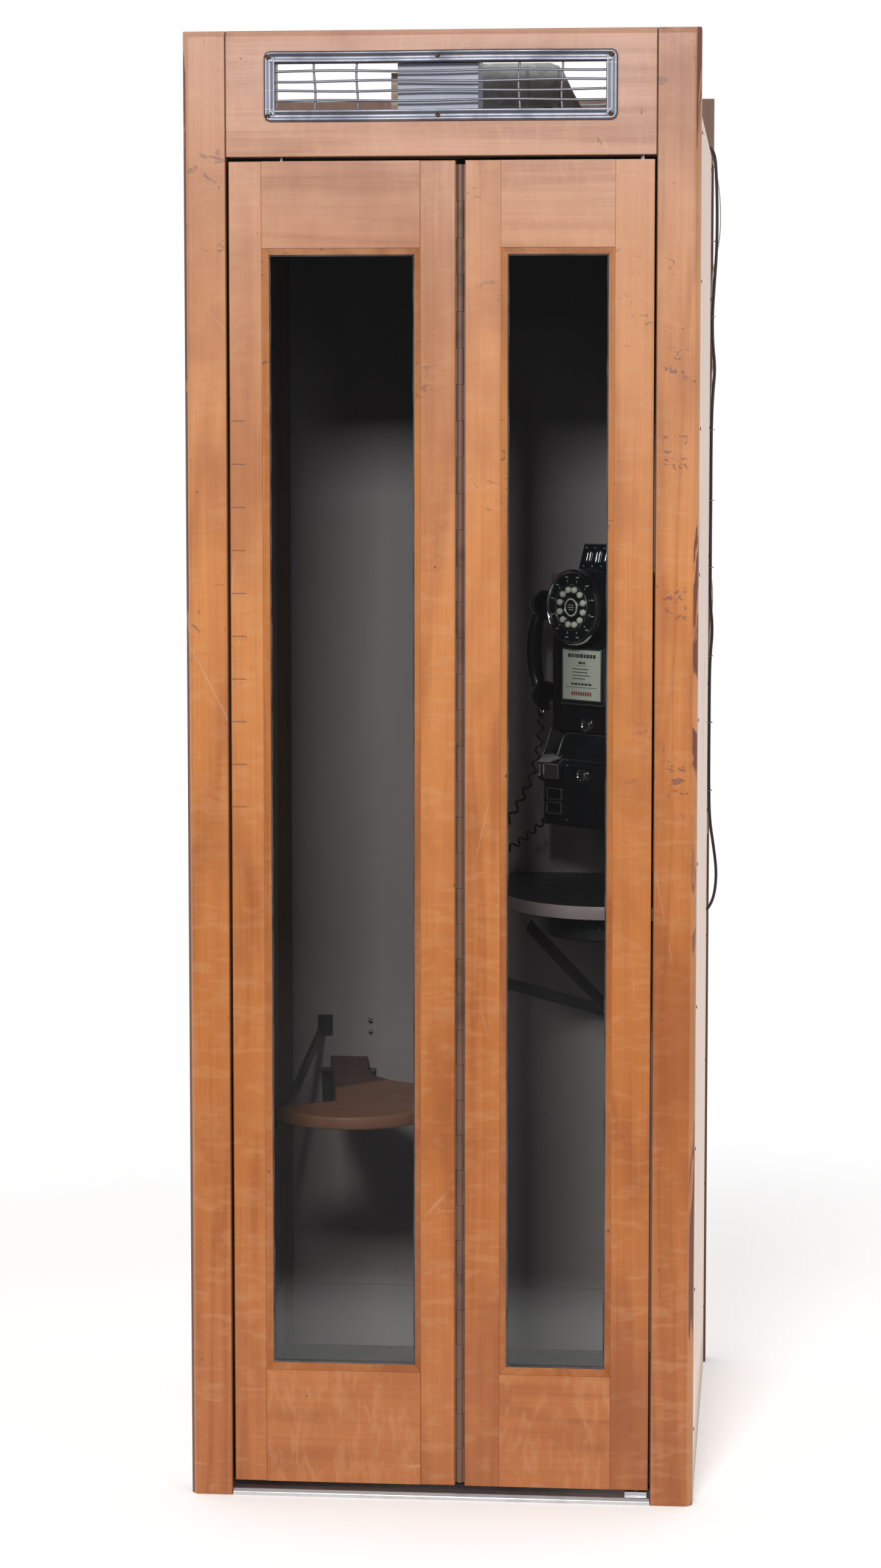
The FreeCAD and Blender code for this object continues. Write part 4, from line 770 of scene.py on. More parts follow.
def makeVent():
    bm = bmesh.new()
    path = roundedPath(vent["halfWidth"], vent["halfHeight"], 0.0005, 2, 34)
    profile = [(0.0078, -0.0010), (0.0082, 0.0014), (0.0072, 0.0034), (0.0050, 0.0042), (0.0026, 0.0030),
               (0.0, 0.0020), (-0.0030, 0.0025), (-0.0056, 0.0040), (-0.0074, 0.0036), (-0.0084, 0.0012),
               (-0.0084, -0.0070), (-0.0075, -0.0070), (-0.0070, 0.0010), (-0.0050, 0.0026), (0.0, 0.0008),
               (0.0046, 0.0026), (0.0064, 0.0010), (0.0070, -0.0010)]
    addRing(bm, path, profile, Matrix.Translation((0, vent["face"], vent["middle"])))
    for vertex in bm.verts:
        dented(vertex.co, 0.0006)
    finishPiece(meshFrom(bm, "ventFrame"), "booth", ventSteel, 50, ("vent_grille",))
    bm = bmesh.new()
    for index, z in enumerate(vent["rows"]):
        points = [Vector((x / 40.0 * 0.4745 - 0.23725, vent["face"] + 0.0028,
                          z + 0.0009 * math.sin(x * 0.29 + index * 2.0))) for x in range(41)]
        addSweep(bm, points, vent["wire"])
    for index, x in enumerate(vent["columns"]):
        points = [Vector((x + 0.0012 * math.sin(z * 0.5 + index), vent["face"] + 0.006,
                          vent["middle"] + (z / 10.0 - 0.5) * 0.068)) for z in range(11)]
        addSweep(bm, points, vent["wire"] * 0.9)
    finishPiece(meshFrom(bm, "ventWires"), "booth", wireSteel, 50)
    places = [(x, vent["face"] - 0.0032, z) for x in (-0.2465, -0.003, 0.2425) for z in (2.0129, 2.0958)]
    screws("ventScrews", places, [(math.pi / 2, dice.uniform(0, 3), 0) for _ in places], (0.0036, 0.0016),
           hingeSteel, "booth", "grey_vent_steel")


# ---- what shows on the roof

def wirePiece(name, points, radius, material, steps=8, smooth=35.0):
    bm = bmesh.new()
    addSweep(bm, points, radius, steps)
    finishPiece(meshFrom(bm, name), "booth", material, smooth)


def makeRoof():
    bm = bmesh.new()
    addBox(bm, (-0.0765, -0.371, 1.9925), (-0.0620, -0.349, 2.0745), 0.0012)
    addBox(bm, (-0.0765, -0.3715, 2.0745), (-0.0620, -0.3485, 2.0785), 0.0010)
    finishPiece(meshFrom(bm, "lampBatten"), "booth", beige)
    bm = bmesh.new()
    flare = [(0.1462, 2.1030), (0.1560, 2.1005), (0.1630, 2.0925), (0.1765, 2.0640), (0.1905, 2.0385),
             (0.2080, 2.0120),
             (0.2080, 1.9925), (0.1462, 1.9925)]
    addPrism(bm, [(x, -0.2300, z) for x, z in flare], [(x, -0.2282, z) for x, z in flare])
    addBox(bm, (0.1540, -0.2375, 1.9925), (0.1562, -0.2300, 2.0990), 0.0004, 1)
    finishPiece(meshFrom(bm, "ductFlare"), "booth", galvanised, 30)
    bm = bmesh.new()
    for z in (2.0400, 2.0050):
        addBox(bm, (0.0365, -0.2364, z), (0.1555, -0.2348, z + 0.003), 0.0005, 1)
    addBox(bm, (0.108, -0.2372, 1.9925), (0.1115, -0.2348, 2.100), 0.0006, 1)
    finishPiece(meshFrom(bm, "ductSeams"), "booth", galvanised)
    places = [(x, -0.2372, z) for x in (0.044, 0.148) for z in (2.000, 2.024)]
    screws("ductScrews", places, [(math.pi / 2, 0, 0)] * 4, (0.0032, 0.0016), zinc, "booth", "galvanised_sheet")
    dark = curveLine([(0.120, -0.240, 2.034), (0.150, -0.243, 2.040), (0.184, -0.17, 2.048),
                      (0.200, -0.02, 2.060), (0.215, 0.14, 2.075), (0.235, 0.30, 2.102), (0.262, 0.395, 2.111),
                      (0.300, 0.400, 2.1095), (0.330, 0.402, 2.1085)], "roofLine")
    wirePiece("roofWireDark", dark, 0.0022, cordBlack)
    pale = curveLine([(0.158, -0.118, 2.012), (0.196, 0.02, 2.026), (0.232, 0.20, 2.088), (0.250, 0.33, 2.112),
                      (0.270, 0.392, 2.112), (0.290, 0.4385, 2.100), (0.296, 0.4385, 2.060)], "roofLinePale")
    wirePiece("roofWirePale", pale, 0.0019, paleWire)


# ---- glazing: a thin worn gasket and putty line round each pane

def makeGlazing():
    for body, node in (("lead_leaf", "lead_leaf_glass"), ("jamb_leaf", "jamb_leaf_glass")):
        low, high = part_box(node)
        middle = (Vector(low) + Vector(high)) / 2
        half = (Vector(high) - Vector(low)) / 2
        bm = bmesh.new()
        path = roundedPath(half.x - 0.0095, half.z - 0.0095, 0.002, 2, 60)
        profile = [(0.0022, 0.0), (0.0022, 0.0020), (0.0010, 0.0015), (-0.0004, 0.0007), (-0.0008, 0.0)]
        addRing(bm, path, profile, Matrix.Translation((middle.x, low[1], middle.z)))
        for vertex in bm.verts:
            swell = math.sin(vertex.co.z * 41.0) + math.sin(vertex.co.z * 97.0 + vertex.co.x * 60.0)
            vertex.co.x += 0.0003 * swell
        finishPiece(meshFrom(bm, body.replace("_", "") + "Putty"), body, putty)


# ---- inside pull, leaf hinge screws, nails and fixings

def makeFixings():
    bm = bmesh.new()
    line = curveLine([(-0.004, -0.3990, 0.975), (-0.004, -0.3850, 0.975), (-0.004, -0.3700, 0.979),
                      (-0.004, -0.3660, 1.000), (-0.004, -0.3660, 1.090), (-0.004, -0.3700, 1.111),
                      (-0.004, -0.3850, 1.115), (-0.004, -0.3990, 1.115)], "pullLine")
    addSweep(bm, line, 0.0045, 12)
    for z in (0.975, 1.115):
        addLathe(bm, [(0.0, -0.3995), (0.010, -0.3995), (0.010, -0.3975), (0.0075, -0.3955), (0.0, -0.3955)],
                 Matrix(((1, 0, 0, -0.004), (0, 0, 1, 0), (0, 1, 0, z), (0, 0, 0, 1))), 24)
    finishPiece(meshFrom(bm, "doorPull"), "lead_leaf", bright, 40)
    heights = [0.06 + 0.1475 * index for index in range(13)]
    for body, x in (("lead_leaf", 0.0215), ("jamb_leaf", 0.0351)):
        side = 1 if body == "lead_leaf" else -1
        places = [(x, -0.4120, z) for z in heights]
        screws(body.replace("_", "") + "HingeScrews", places, [(0, side * math.pi / 2, 0)] * len(places),
               (0.0030, 0.0005), hingeSteel, body, "hinge_steel")
    places = [(side * 0.3703, y, z) for side in (-1, 1) for y in (-0.375, 0.382) for z in
              [0.10 + 0.21 * index for index in range(10)] if not (y > 0 and z > 2.0)]
    turns = [(0, math.pi / 2 if place[0] > 0 else -math.pi / 2, 0) for place in places]
    screws("sideNails", places, turns, (0.0026, 0.0008), hingeSteel, "booth", "bare_ply")
    heights = [0.085 + 0.19 * index for index in range(11)]
    places = [(x, 0.4293, z) for x in (-0.315, -0.105, 0.105, 0.315) for z in heights
              if abs(x) > 0.3 or z in (heights[0], heights[-1])]
    screws("rearNails", places, [(-math.pi / 2, 0, 0)] * len(places), (0.0030, 0.0008), hingeSteel, "booth",
           "bare_ply")


# ---- fixings for the shelf and the seat stay

def makeShelfParts():
    places = [(0.097, 0.118, 0.8068), (0.128, 0.078, 0.8068)]
    screws("shelfScrews", places, [(math.pi, 0, 0)] * 2, (0.0044, 0.0022), brass, "booth", "shelf_board")
    low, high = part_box("seat_stay")
    places = [(high[0] - 0.009, 0.4098, high[2] - 0.007), (high[0] - 0.009, 0.4098, high[2] - 0.026)]
    screws("stayBolts", places, [(math.pi / 2, 0.5, 0)] * 2, (0.0040, 0.0026), zinc, "booth", "black_steel")


# ---- telephone, built in its own frame in millimetres

phone = (Matrix.Translation((0.257, 0.267, 0)) @ Matrix.Rotation(math.radians(-45), 4, "Z")
         @ Matrix.Scale(mm, 4))
towardUser = Matrix.Rotation(math.radians(90), 4, "X")


def phonePiece(bm, name, material, smooth=35.0, body="booth", replaces=()):
    # sets a piece from the telephone's own frame into the booth's, and empties bm for the next one
    bmesh.ops.transform(bm, matrix=phone, verts=bm.verts)
    bmesh.ops.recalc_face_normals(bm, faces=bm.faces)
    mesh = bpy.data.meshes.new(name)
    bm.to_mesh(mesh)
    bm.clear()
    return finishPiece(newObject(name, mesh), body, material, smooth, replaces)


def turned(bm, profile, x, z, steps=48, face=0.0):
    # a lathe shape about a line that runs toward the user; heights are local y, measured from the face
    at = Matrix.Translation((x, 0, z)) @ Matrix(((1, 0, 0, 0), (0, 0, 1, 0), (0, 1, 0, 0), (0, 0, 0, 1)))
    addLathe(bm, [(radius, face + height) for radius, height in profile], at, steps)


def digitMesh(bm, text, x, z, y, size, depth=0.25):
    # one printed figure as a thin raised mesh
    data = bpy.data.curves.new("figure", "FONT")
    data.body = text
    data.size = size
    data.align_x = "CENTER"
    data.align_y = "CENTER"
    data.extrude = depth
    data.resolution_u = 3
    obj = newObject("figure", data)
    mesh = plainMesh(obj)
    mesh.transform(Matrix.Translation((x, y, z)) @ towardUser)
    bm.from_mesh(mesh)
    bpy.data.objects.remove(obj)
    bpy.data.meshes.remove(mesh)


dialPlate = {"middle": 1285.6, "face": -141.0, "figures": ("2", "1", "*", "#", "0", "9", "8", "7", "6", "5",
                                                           "4", "3"),
             "figureRadius": 42.5, "figureSize": 5.6, "buttonRadius": 28.5, "dashRadius": 49.6}


def onDial(radius, index):
    # one of the twelve positions at a radius from the dial's middle
    angle = math.radians(15.0 + 30.0 * index)
    return radius * math.sin(angle), dialPlate["middle"] + radius * math.cos(angle)


def makeDial():
    face, z0 = dialPlate["face"], dialPlate["middle"]
    bm = bmesh.new()
    turned(bm, [(54.2, 7.0), (60.8, 7.0), (61.2, 3.5), (60.2, -1.2), (58.4, -3.6), (56.6, -3.9), (55.0, -2.8),
                (54.2, -0.5), (54.2, 7.0)], 0, z0, 96, face)
    phonePiece(bm, "dialBezel", bright, 40)
    turned(bm, [(0, 8.0), (54.4, 8.0), (54.4, 0.0), (50.0, -0.6), (38.2, -0.9), (37.4, -1.6), (36.4, -1.9),
                (35.6, -1.3), (24.0, -0.7), (19.0, -0.9), (0, -0.9)], 0, z0, 96, face)
    phonePiece(bm, "dialFace", blackGloss, 40, replaces=("dial_plate",))
    turned(bm, [(35.9, -1.2), (37.3, -1.2), (37.3, -2.1), (36.6, -2.5), (35.9, -2.1), (35.9, -1.2)], 0, z0, 96,
           face)
    turned(bm, [(14.6, -0.5), (16.2, -0.5), (16.2, -3.2), (15.4, -3.8), (14.6, -3.2), (14.6, -0.5)], 0, z0, 64,
           face)
    for index in range(12):
        turned(bm, [(5.3, -0.6), (6.3, -0.6), (6.3, -1.7), (5.8, -2.1), (5.3, -1.7), (5.3, -0.6)],
               *onDial(dialPlate["buttonRadius"], index), 24, face)
    phonePiece(bm, "dialRings", darkChrome, 50)
    turned(bm, [(12.2, -0.6), (14.5, -0.6), (14.5, -3.3), (12.2, -3.5), (12.2, -0.6)], 0, z0, 64, face)
    phonePiece(bm, "dialCentreRing", cream, 40)
    turned(bm, [(0, -0.6), (12.1, -0.6), (12.1, -3.3), (0, -3.6)], 0, z0, 48, face)
    phonePiece(bm, "dialCentreDisc", blackPlastic, 40)
    for index, figure in enumerate(dialPlate["figures"]):
        digitMesh(bm, figure, *onDial(dialPlate["figureRadius"], index), face - 0.95, dialPlate["figureSize"])
    for index in range(12):
        # a short printed dash outside each figure, and a small label in the middle
        x, z = onDial(dialPlate["dashRadius"], index)
        addBox(bm, (x - 3.2, face - 0.9, z - 0.9), (x + 3.2, face - 0.3, z + 0.9))
    for left, right, z in ((-6.5, 6.0, 3.6), (-7.5, 7.5, 0.0), (-5.5, 6.5, -3.6)):
        addBox(bm, (left, face - 3.75, z0 + z - 0.7), (right, face - 3.2, z0 + z + 0.7))
    phonePiece(bm, "dialFigures", whitePrint, 0)
    for index in range(12):
        node = "dial_button_%02d" % (index + 1)
        turned(bm, [(0, 1.5), (5.15, 1.5), (5.15, -3.2), (4.9, -4.6), (4.2, -5.7), (3.0, -6.3), (1.5, -6.6),
                    (0, -6.7)], *onDial(dialPlate["buttonRadius"], index), 32, face)
        phonePiece(bm, "button" + node[-2:], cream, 60, node, replaces=(node,))


card = {"halfWidth": 45.0, "low": 1136.0, "high": 1216.5, "face": -120.5}


def makeCard():
    bm = bmesh.new()
    low, high, face = card["low"], card["high"], card["face"]
    addBox(bm, (-card["halfWidth"], face, low), (card["halfWidth"], face + 0.9, high), 0.2, 1)
    phonePiece(bm, "instructionCard", cardPaper, 0)
    lines = [(-33, 33, 1206.8, 6.0), (-8, 8, 1195.6, 3.6), (-13, 13, 1191.2, 0.6), (-22, 16, 1185.6, 1.5),
             (-22, 14, 1180.4, 1.5), (-22, 20, 1175.2, 1.5), (-22, 8, 1170.0, 1.5), (-25, 25, 1161.4, 3.2),
             (-36, 36, 1156.2, 1.0)]
    for left, right, z, height in lines:
        # each line of print is a run of short strokes, like words seen from afar
        x = left
        while x < right:
            stroke = min(dice.uniform(2.2, 6.0) * (1.6 if height > 2 else 1.0), right - x)
            addBox(bm, (x, face - 0.12, z - height / 2), (x + stroke, face + 0.2, z + height / 2))
            x += stroke + (1.6 if height > 2 else 0.9)
    phonePiece(bm, "cardPrint", inkGrey, 0)
    x = -24.0
    while x < 22.0:
        addBox(bm, (x, face - 0.12, 1143.0), (x + 3.8, face + 0.2, 1149.0))
        x += 5.4
    phonePiece(bm, "cardBand", inkRed, 0)
    path = roundedPath(card["halfWidth"] + 1.4, (high - low) / 2 + 1.4, 1.0, 4)
    profile = [(1.0, -1.2), (1.0, 1.4), (0.4, 2.0), (-0.8, 2.0), (-1.5, 1.3), (-1.5, -1.2)]
    addRing(bm, path, profile, Matrix.Translation((0, -119.5, (low + high) / 2)))
    addBox(bm, (-50.4, -120.2, low - 8.6), (52.4, -119.2, low - 5.6), 0.4, 2)
    addBox(bm, (50.6, -120.6, low - 6.4), (52.6, -113.0, high + 4.4), 0.6, 2)
    phonePiece(bm, "cardFrame", edgeHighlightGrey, 40)
    for x in (-62.5, 62.5):
        addBox(bm, (x - 1.0, -113.6, low - 26), (x + 1.0, -111.0, high + 4), 0.6, 2)
    phonePiece(bm, "caseBeading", blackGloss, 40)


def makeCoinHead():
    bm = bmesh.new()
    for x in (-22.0, 0.0, 22.0):
        tall = 10.0 if x else 11.5
        tilt = Matrix.Translation((x, -86.0, 1364.5)) @ Matrix.Rotation(math.radians(-14.0), 4, "X")
        path = roundedPath(4.0, tall, 3.9, 8)
        profile = [(1.3, -1.5), (1.3, 0.8), (0.6, 1.8), (-0.6, 2.0), (-1.8, 1.4), (-2.4, 0.4), (-2.4, -1.5)]
        addRing(bm, path, profile, tilt)
    phonePiece(bm, "coinSlotRims", darkChrome, 50)
    for x in (-31.5, -11.0, 11.0, 31.5):
        turned(bm, [(0, -80.0), (2.4, -80.0), (2.4, -89.4), (1.4, -90.8), (0, -91.2)], x, 1349.5, 16)
        turned(bm, [(0, -76.0), (2.0, -76.0), (2.0, -82.6), (1.1, -83.8), (0, -84.2)], x, 1378.5, 16)
    addBox(bm, (-40.0, -81.0, 1383.2), (40.0, -37.0, 1384.8), 0.7, 2)
    phonePiece(bm, "coinHeadTrim", darkChrome, 50)


def makeLocks():
    for name, body, x, z, face, node in (("upperLockBarrel", "upper_lock", 3, 1095.0, -112.0, "upper_lock"),
                                         ("vaultLockBarrel", "vault_lock", 7, 1015.0, -125.0, "vault_lock")):
        bm = bmesh.new()
        for side in (-1, 1):
            # two halves of the plug, with the keyway between them
            arc = [(x + side * 1.1, -5.2)] + [(x + side * 6.4 * math.sin(t * math.pi / 10), -6.4 * math.cos(
                t * math.pi / 10)) for t in range(1, 10)] + [(x + side * 1.1, 5.2)]
            addPrism(bm, [(px, face - 3.4, z + pz) for px, pz in arc],
                     [(px, face + 6.0, z + pz) for px, pz in arc])
        turned(bm, [(6.5, 6.0), (8.9, 6.0), (8.9, -3.0), (8.2, -4.2), (7.2, -4.4), (6.5, -3.6), (6.5, 6.0)], x,
               z, 40, face)
        turned(bm, [(0, 2.0), (6.4, 2.0), (6.4, 5.5), (0, 5.5)], x, z, 40, face)
        phonePiece(bm, name, bright, 40, body, replaces=(node,))
    turned(bm, [(9.3, -111.0), (12.4, -111.0), (12.4, -113.2), (11.4, -114.6), (9.9, -114.8), (9.3, -113.8),
                (9.3, -111.0)], 3, 1095.0, 48)
    phonePiece(bm, "upperLockCollar", bright, 40)
    turned(bm, [(9.4, -124.6), (12.0, -124.6), (12.0, -126.4), (11.0, -127.8), (9.9, -128.0), (9.4, -127.0),
                (9.4, -124.6)], 7, 1015.0, 48)
    phonePiece(bm, "vaultLockCollar", bright, 40, "vault_door")


def alongLedge(fromTop, lift=0.0):
    # a place on the sloping ledge, from its top edge down to the front edge, raised off it by lift
    y = -104.0 - 18.0 * fromTop
    z = 1084.0 - 46.0 * fromTop
    return y - 0.93 * lift, z + 0.364 * lift


def makeLowerTrim():
    bm = bmesh.new()
    outline = []
    for x, t in ((-58, 0.98), (-58, 0.55), (-56, 0.20), (-48, 0.10), (0, 0.10), (60, 0.10), (78, 0.12),
                 (84, 0.24), (85, 0.55), (85, 0.98)):
        y, z = alongLedge(t, 0.3)
        outline.append((x, y, z))
    addSweep(bm, curveLine(outline, "ledgeLine"), 1.5, 10)
    for edge in (((-92.0, -122.2, 1038.2), (92.0, -122.2, 1038.2)),
                 ((-92.4, *alongLedge(0.0)), (-92.4, *alongLedge(1.0)))):
        addSweep(bm, [Vector(point) for point in edge], 0.9, 8)
    # the beading takes the lighter grey of painted edge highlights
    phonePiece(bm, "ledgeBeading", edgeHighlightGrey, 60)
    profile = [(2.2, -0.6), (2.2, 1.4), (1.2, 2.2), (-0.2, 2.0), (-1.0, 0.8), (-1.0, -0.6)]
    addRing(bm, roundedPath(61.5, 49.0, 4.0, 6), profile, Matrix.Translation((27.5, -122.0, 984.0)))
    phonePiece(bm, "vaultSurround", blackGloss, 50)
    profile = [(1.5, -0.5), (1.5, 1.2), (0.4, 2.0), (-0.8, 1.2), (-0.8, -0.5)]
    for z in (980.0, 957.5):
        addRing(bm, roundedPath(17.0, 8.6, 1.6, 4), profile, Matrix.Translation((-63.0, -122.0, z)))
    phonePiece(bm, "returnPanels", edgeHighlightGrey, 50)
    for x, z in ((83.5, 1029.0), (-28.5, 1029.0), (83.5, 941.0), (-28.5, 941.0)):
        turned(bm, [(0, -124.5), (2.0, -124.5), (2.0, -125.8), (1.0, -126.7), (0, -127.0)], x, z, 16)
    phonePiece(bm, "vaultRivets", darkChrome, 50, "vault_door")


def makeReturn():
    # hood of the coin return: folded cheeks round a dark mouth
    bm = bmesh.new()
    left, right, low, high = -89.0, -37.0, 997.0, 1047.0
    shell = [(left, -122.0, low), (left, -137.0, low + 10), (left, -138.0, high - 15), (left + 5, -118.6, high),
             (right - 5, -118.6, high), (right, -138.0, high - 15), (right, -137.0, low + 10),
             (right, -122.0, low)]
    inner = [(left + 5, -121.0, low + 5), (left + 5, -134.5, low + 14), (left + 5, -135.5, high - 19),
             (left + 9, -121.0, high - 8), (right - 9, -121.0, high - 8), (right - 5, -135.5, high - 19),
             (right - 5, -134.5, low + 14), (right - 5, -121.0, low + 5)]
    a = [bm.verts.new(p) for p in shell]
    b = [bm.verts.new(p) for p in inner]
    quads = [(a[0], a[1], a[2], a[3]), (a[4], a[5], a[6], a[7]), (a[3], a[2], a[5], a[4]),
             (a[0], b[0], b[1], a[1]), (a[1], b[1], b[2], a[2]), (a[2], b[2], b[5], a[5]),
             (a[5], b[5], b[6], a[6]), (a[6], b[6], b[7], a[7]), (b[3], b[2], b[1], b[0]),
             (b[7], b[6], b[5], b[4]), (b[4], b[5], b[2], b[3]), (a[3], a[4], b[4], b[3]),
             (a[0], a[3], b[3], b[0]), (a[7], b[7], b[4], a[4])]
    for quad in quads:
        bm.faces.new(quad)
    bevelled(bm, list(bm.edges), 0.9)
    phonePiece(bm, "coinReturnHood", bright, 40, replaces=("coin_return",))


def makeHandset():
    x, y = -124.0, -104.0
    top, bottom = 1284.0, 1136.0
    bm = bmesh.new()
    count = 28
    points = []
    for index in range(count + 1):
        t = index / count
        z = bottom - 2 + (top - bottom + 4) * t
        points.append(Vector((x + 9 - 21.0 * math.sin(math.pi * t) ** 0.85, y, z)))
    addSweep(bm, points, lambda t: 10.2 + 2.6 * math.sin(math.pi * t) ** 2 + 3.0 * max(0.0, 1 - 7 * t) + 3.0
             * max(
        0.0, 7 * t - 6), 20, 1.12)
    for z in (top, bottom):
        at = Matrix.Translation((0, y, z)) @ turnAcross
        addLathe(bm, [(0, x - 8), (11, x - 7.5), (17, x - 4), (20.5, x + 3), (21.5, x + 8), (21.5, x + 11.4),
                      (0, x + 11.4)], at, 40)
        addLathe(bm, [(0, x + 11.6), (23.4, x + 11.6), (24.6, x + 13.2), (24.8, x + 18), (23.4, x + 22.5),
                      (20.0, x + 24), (17.4, x + 22.4), (0, x + 21.6)], at, 48)
    phonePiece(bm, "handsetBody", blackPlastic, 40, "handset", replaces=("handset",))
    # small near-black discs in the ear and mouth caps: painted shade standing in for the holes
    for z in (top, bottom):
        for ring, number in ((0.0, 1), (5.0, 6), (10.0, 12)):
            for index in range(number):
                angle = 2 * math.pi * index / number
                at = (Matrix.Translation((0, y + ring * math.sin(angle), z + ring * math.cos(angle)))
                      @ turnAcross)
                addLathe(bm, [(0, x + 20.8), (1.3, x + 20.8), (1.3, x + 22.1), (0, x + 22.1)], at, 10)
    phonePiece(bm, "handsetHoles", paintedHoleShade, 0, "handset")
    addLathe(bm, [(0, 1116.0), (5.6, 1116.0), (5.2, 1111.5), (4.2, 1105.0), (3.6, 1098.5), (0, 1098.5)],
             Matrix.Translation((x + 6, y, 0)), 20)
    phonePiece(bm, "handsetGrommet", blackPlastic, 40, "handset")


def makeHook():
    # chromed fork: an arm out of the case, a flared cradle under the foot of the handset
    bm = bmesh.new()
    arm = [Vector((-70, -80, 1126)), Vector((-84, -80, 1126)), Vector((-92, -84, 1125)),
           Vector((-96.5, -91, 1121)),
           Vector((-97.5, -97, 1114))]
    addSweep(bm, arm, 4.2, 14, 0.8)
    cradle = [Vector((-96.0, -103 + 14 * math.cos(t), 1112 + 5.5 * math.sin(t) ** 2))
              + Vector((-15.0 * math.sin(t), 0, 0)) for t in [math.pi * i / 16 for i in range(17)]]
    addSweep(bm, cradle, lambda t: 3.4 - 0.8 * abs(2 * t - 1), 12)
    for sign in (-1, 1):
        addLathe(bm, [(0, -3.6), (2.4, -3.0), (3.6, -1.2), (3.6, 1.2), (2.4, 3.0), (0, 3.6)],
                 Matrix.Translation((-96.0, -103 + sign * 14.0, 1112)), 16)
    addLathe(bm, [(0, -82.4), (6.0, -82.4), (6.6, -85.0), (8.0, -90.0), (11.6, -96.6), (12.0, -98.2),
                  (10.6, -98.6), (0, -97.0)], Matrix.Translation((0, -91, 1123)) @ turnAcross, 32)
    phonePiece(bm, "hookFork", bright, 60, "hook_lever", replaces=("hook_lever",))


# ---- cords

cordShape = {"wire": 0.004, "coilRadius": 0.0047, "pitch": 0.0235, "pitchBack": 0.017, "straight": 0.012}


def inBooth(x, y, z):
    return phone @ Vector((x, y, z))


def makeHandsetCord():
    foot = inBooth(-118.0, -104.0, 1111.0)
    case = inBooth(-93.0, -70.0, 950.0)
    fromFoot = ((0, 0, 0), (0, -1, -31), (-3, -4, -63), (-11, -9, -97), (-24, -14, -131), (-40, -18, -161),
                (-57, -20, -186), (-75, -20, -203), (-81, -4, -225))
    fromCase = ((-112, 14, -75), (-90, 30, -68), (-64, 32, -47), (-38, 30, -23), (-20, 20, -4), (0, 0, 0))
    route = [foot + Vector(step) * mm for step in fromFoot] + [case + Vector(step) * mm for step in fromCase]
    line = curveLine(route, "handsetRoute")
    lengths = [0.0]
    for a, b in zip(line, line[1:]):
        lengths.append(lengths[-1] + (b - a).length)
    total = lengths[-1]
    helix = []
    side = Vector((0, 1, 0))
    count = int(total / cordShape["pitchBack"] * 18)
    index = 0
    angle = 0.0
    for step in range(count + 1):
        d = total * step / count
        while index < len(lengths) - 2 and lengths[index + 1] < d:
            index += 1
        span = lengths[index + 1] - lengths[index]
        point = line[index].lerp(line[index + 1], (d - lengths[index]) / span)
        along = (line[min(index + 3, len(line) - 1)] - line[max(index - 2, 0)]).normalized()
        side = (side - along * side.dot(along)).normalized()
        other = along.cross(side)
        ends = min(d, total - d)
        swell = max(0.0, min(1.0, (ends - 0.004) / cordShape["straight"]))
        angle += 2 * math.pi * total / count / cordShape["pitchBack" if d > 0.58 * total else "pitch"]
        helix.append(point + (side * math.cos(angle) + other * math.sin(angle)) * cordShape["coilRadius"]
                     * swell)
    bm = bmesh.new()
    addSweep(bm, helix, cordShape["wire"] / 2, 9)
    cord = meshFrom(bm, "curlyCord")
    length = lengthOf(helix)
    finishPiece(cord, None, cordBlack, 60, ("handset_cord",))
    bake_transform(cord)


def cableRoute():
    # the route of the bell cable, from the fan box over the roof and down the right side
    shares = ((0.0, 0.0, 24), (0.217, 0.005, 20), (0.457, 0.060, 4), (0.640, 0.172, 1), (0.709, 0.312, 0),
              (0.743, 0.465, 0), (0.789, 0.623, 0), (0.857, 0.781, 3))
    points = [(155 + u * 175, -105 + v * 430, 1994.8 + lift) for u, v, lift in shares]
    points += [(330, 325, 2017.5), (358, 359, 2031.5), (375.8, 373, 2019.5)]
    down = ((6, 1, 42), (7.5, 3, 98), (7, 2, 158), (3.5, 0, 212), (0.6, -1, 262), (1.5, 1, 308), (6, 3, 348),
            (2, 1, 392), (0.5, -2, 446), (0.3, -1, 504), (0.4, 2, 562), (0.3, 1, 618), (0.5, -2, 674),
            (0.4, 0, 730), (5, 3, 776), (1, 1, 820), (0.3, -2, 872), (0.4, 0, 930), (0.3, 2, 988),
            (0.6, 1, 1042), (2, -1, 1092), (9, -3, 1136), (14, -2, 1176), (12, 0, 1210), (5, 1, 1234))
    points += [(372.8 + dx, 377 + dy, 2015.5 - dz) for dx, dy, dz in down]
    points.append((370, 378, 2014.5 - 1242))
    return metres(points)


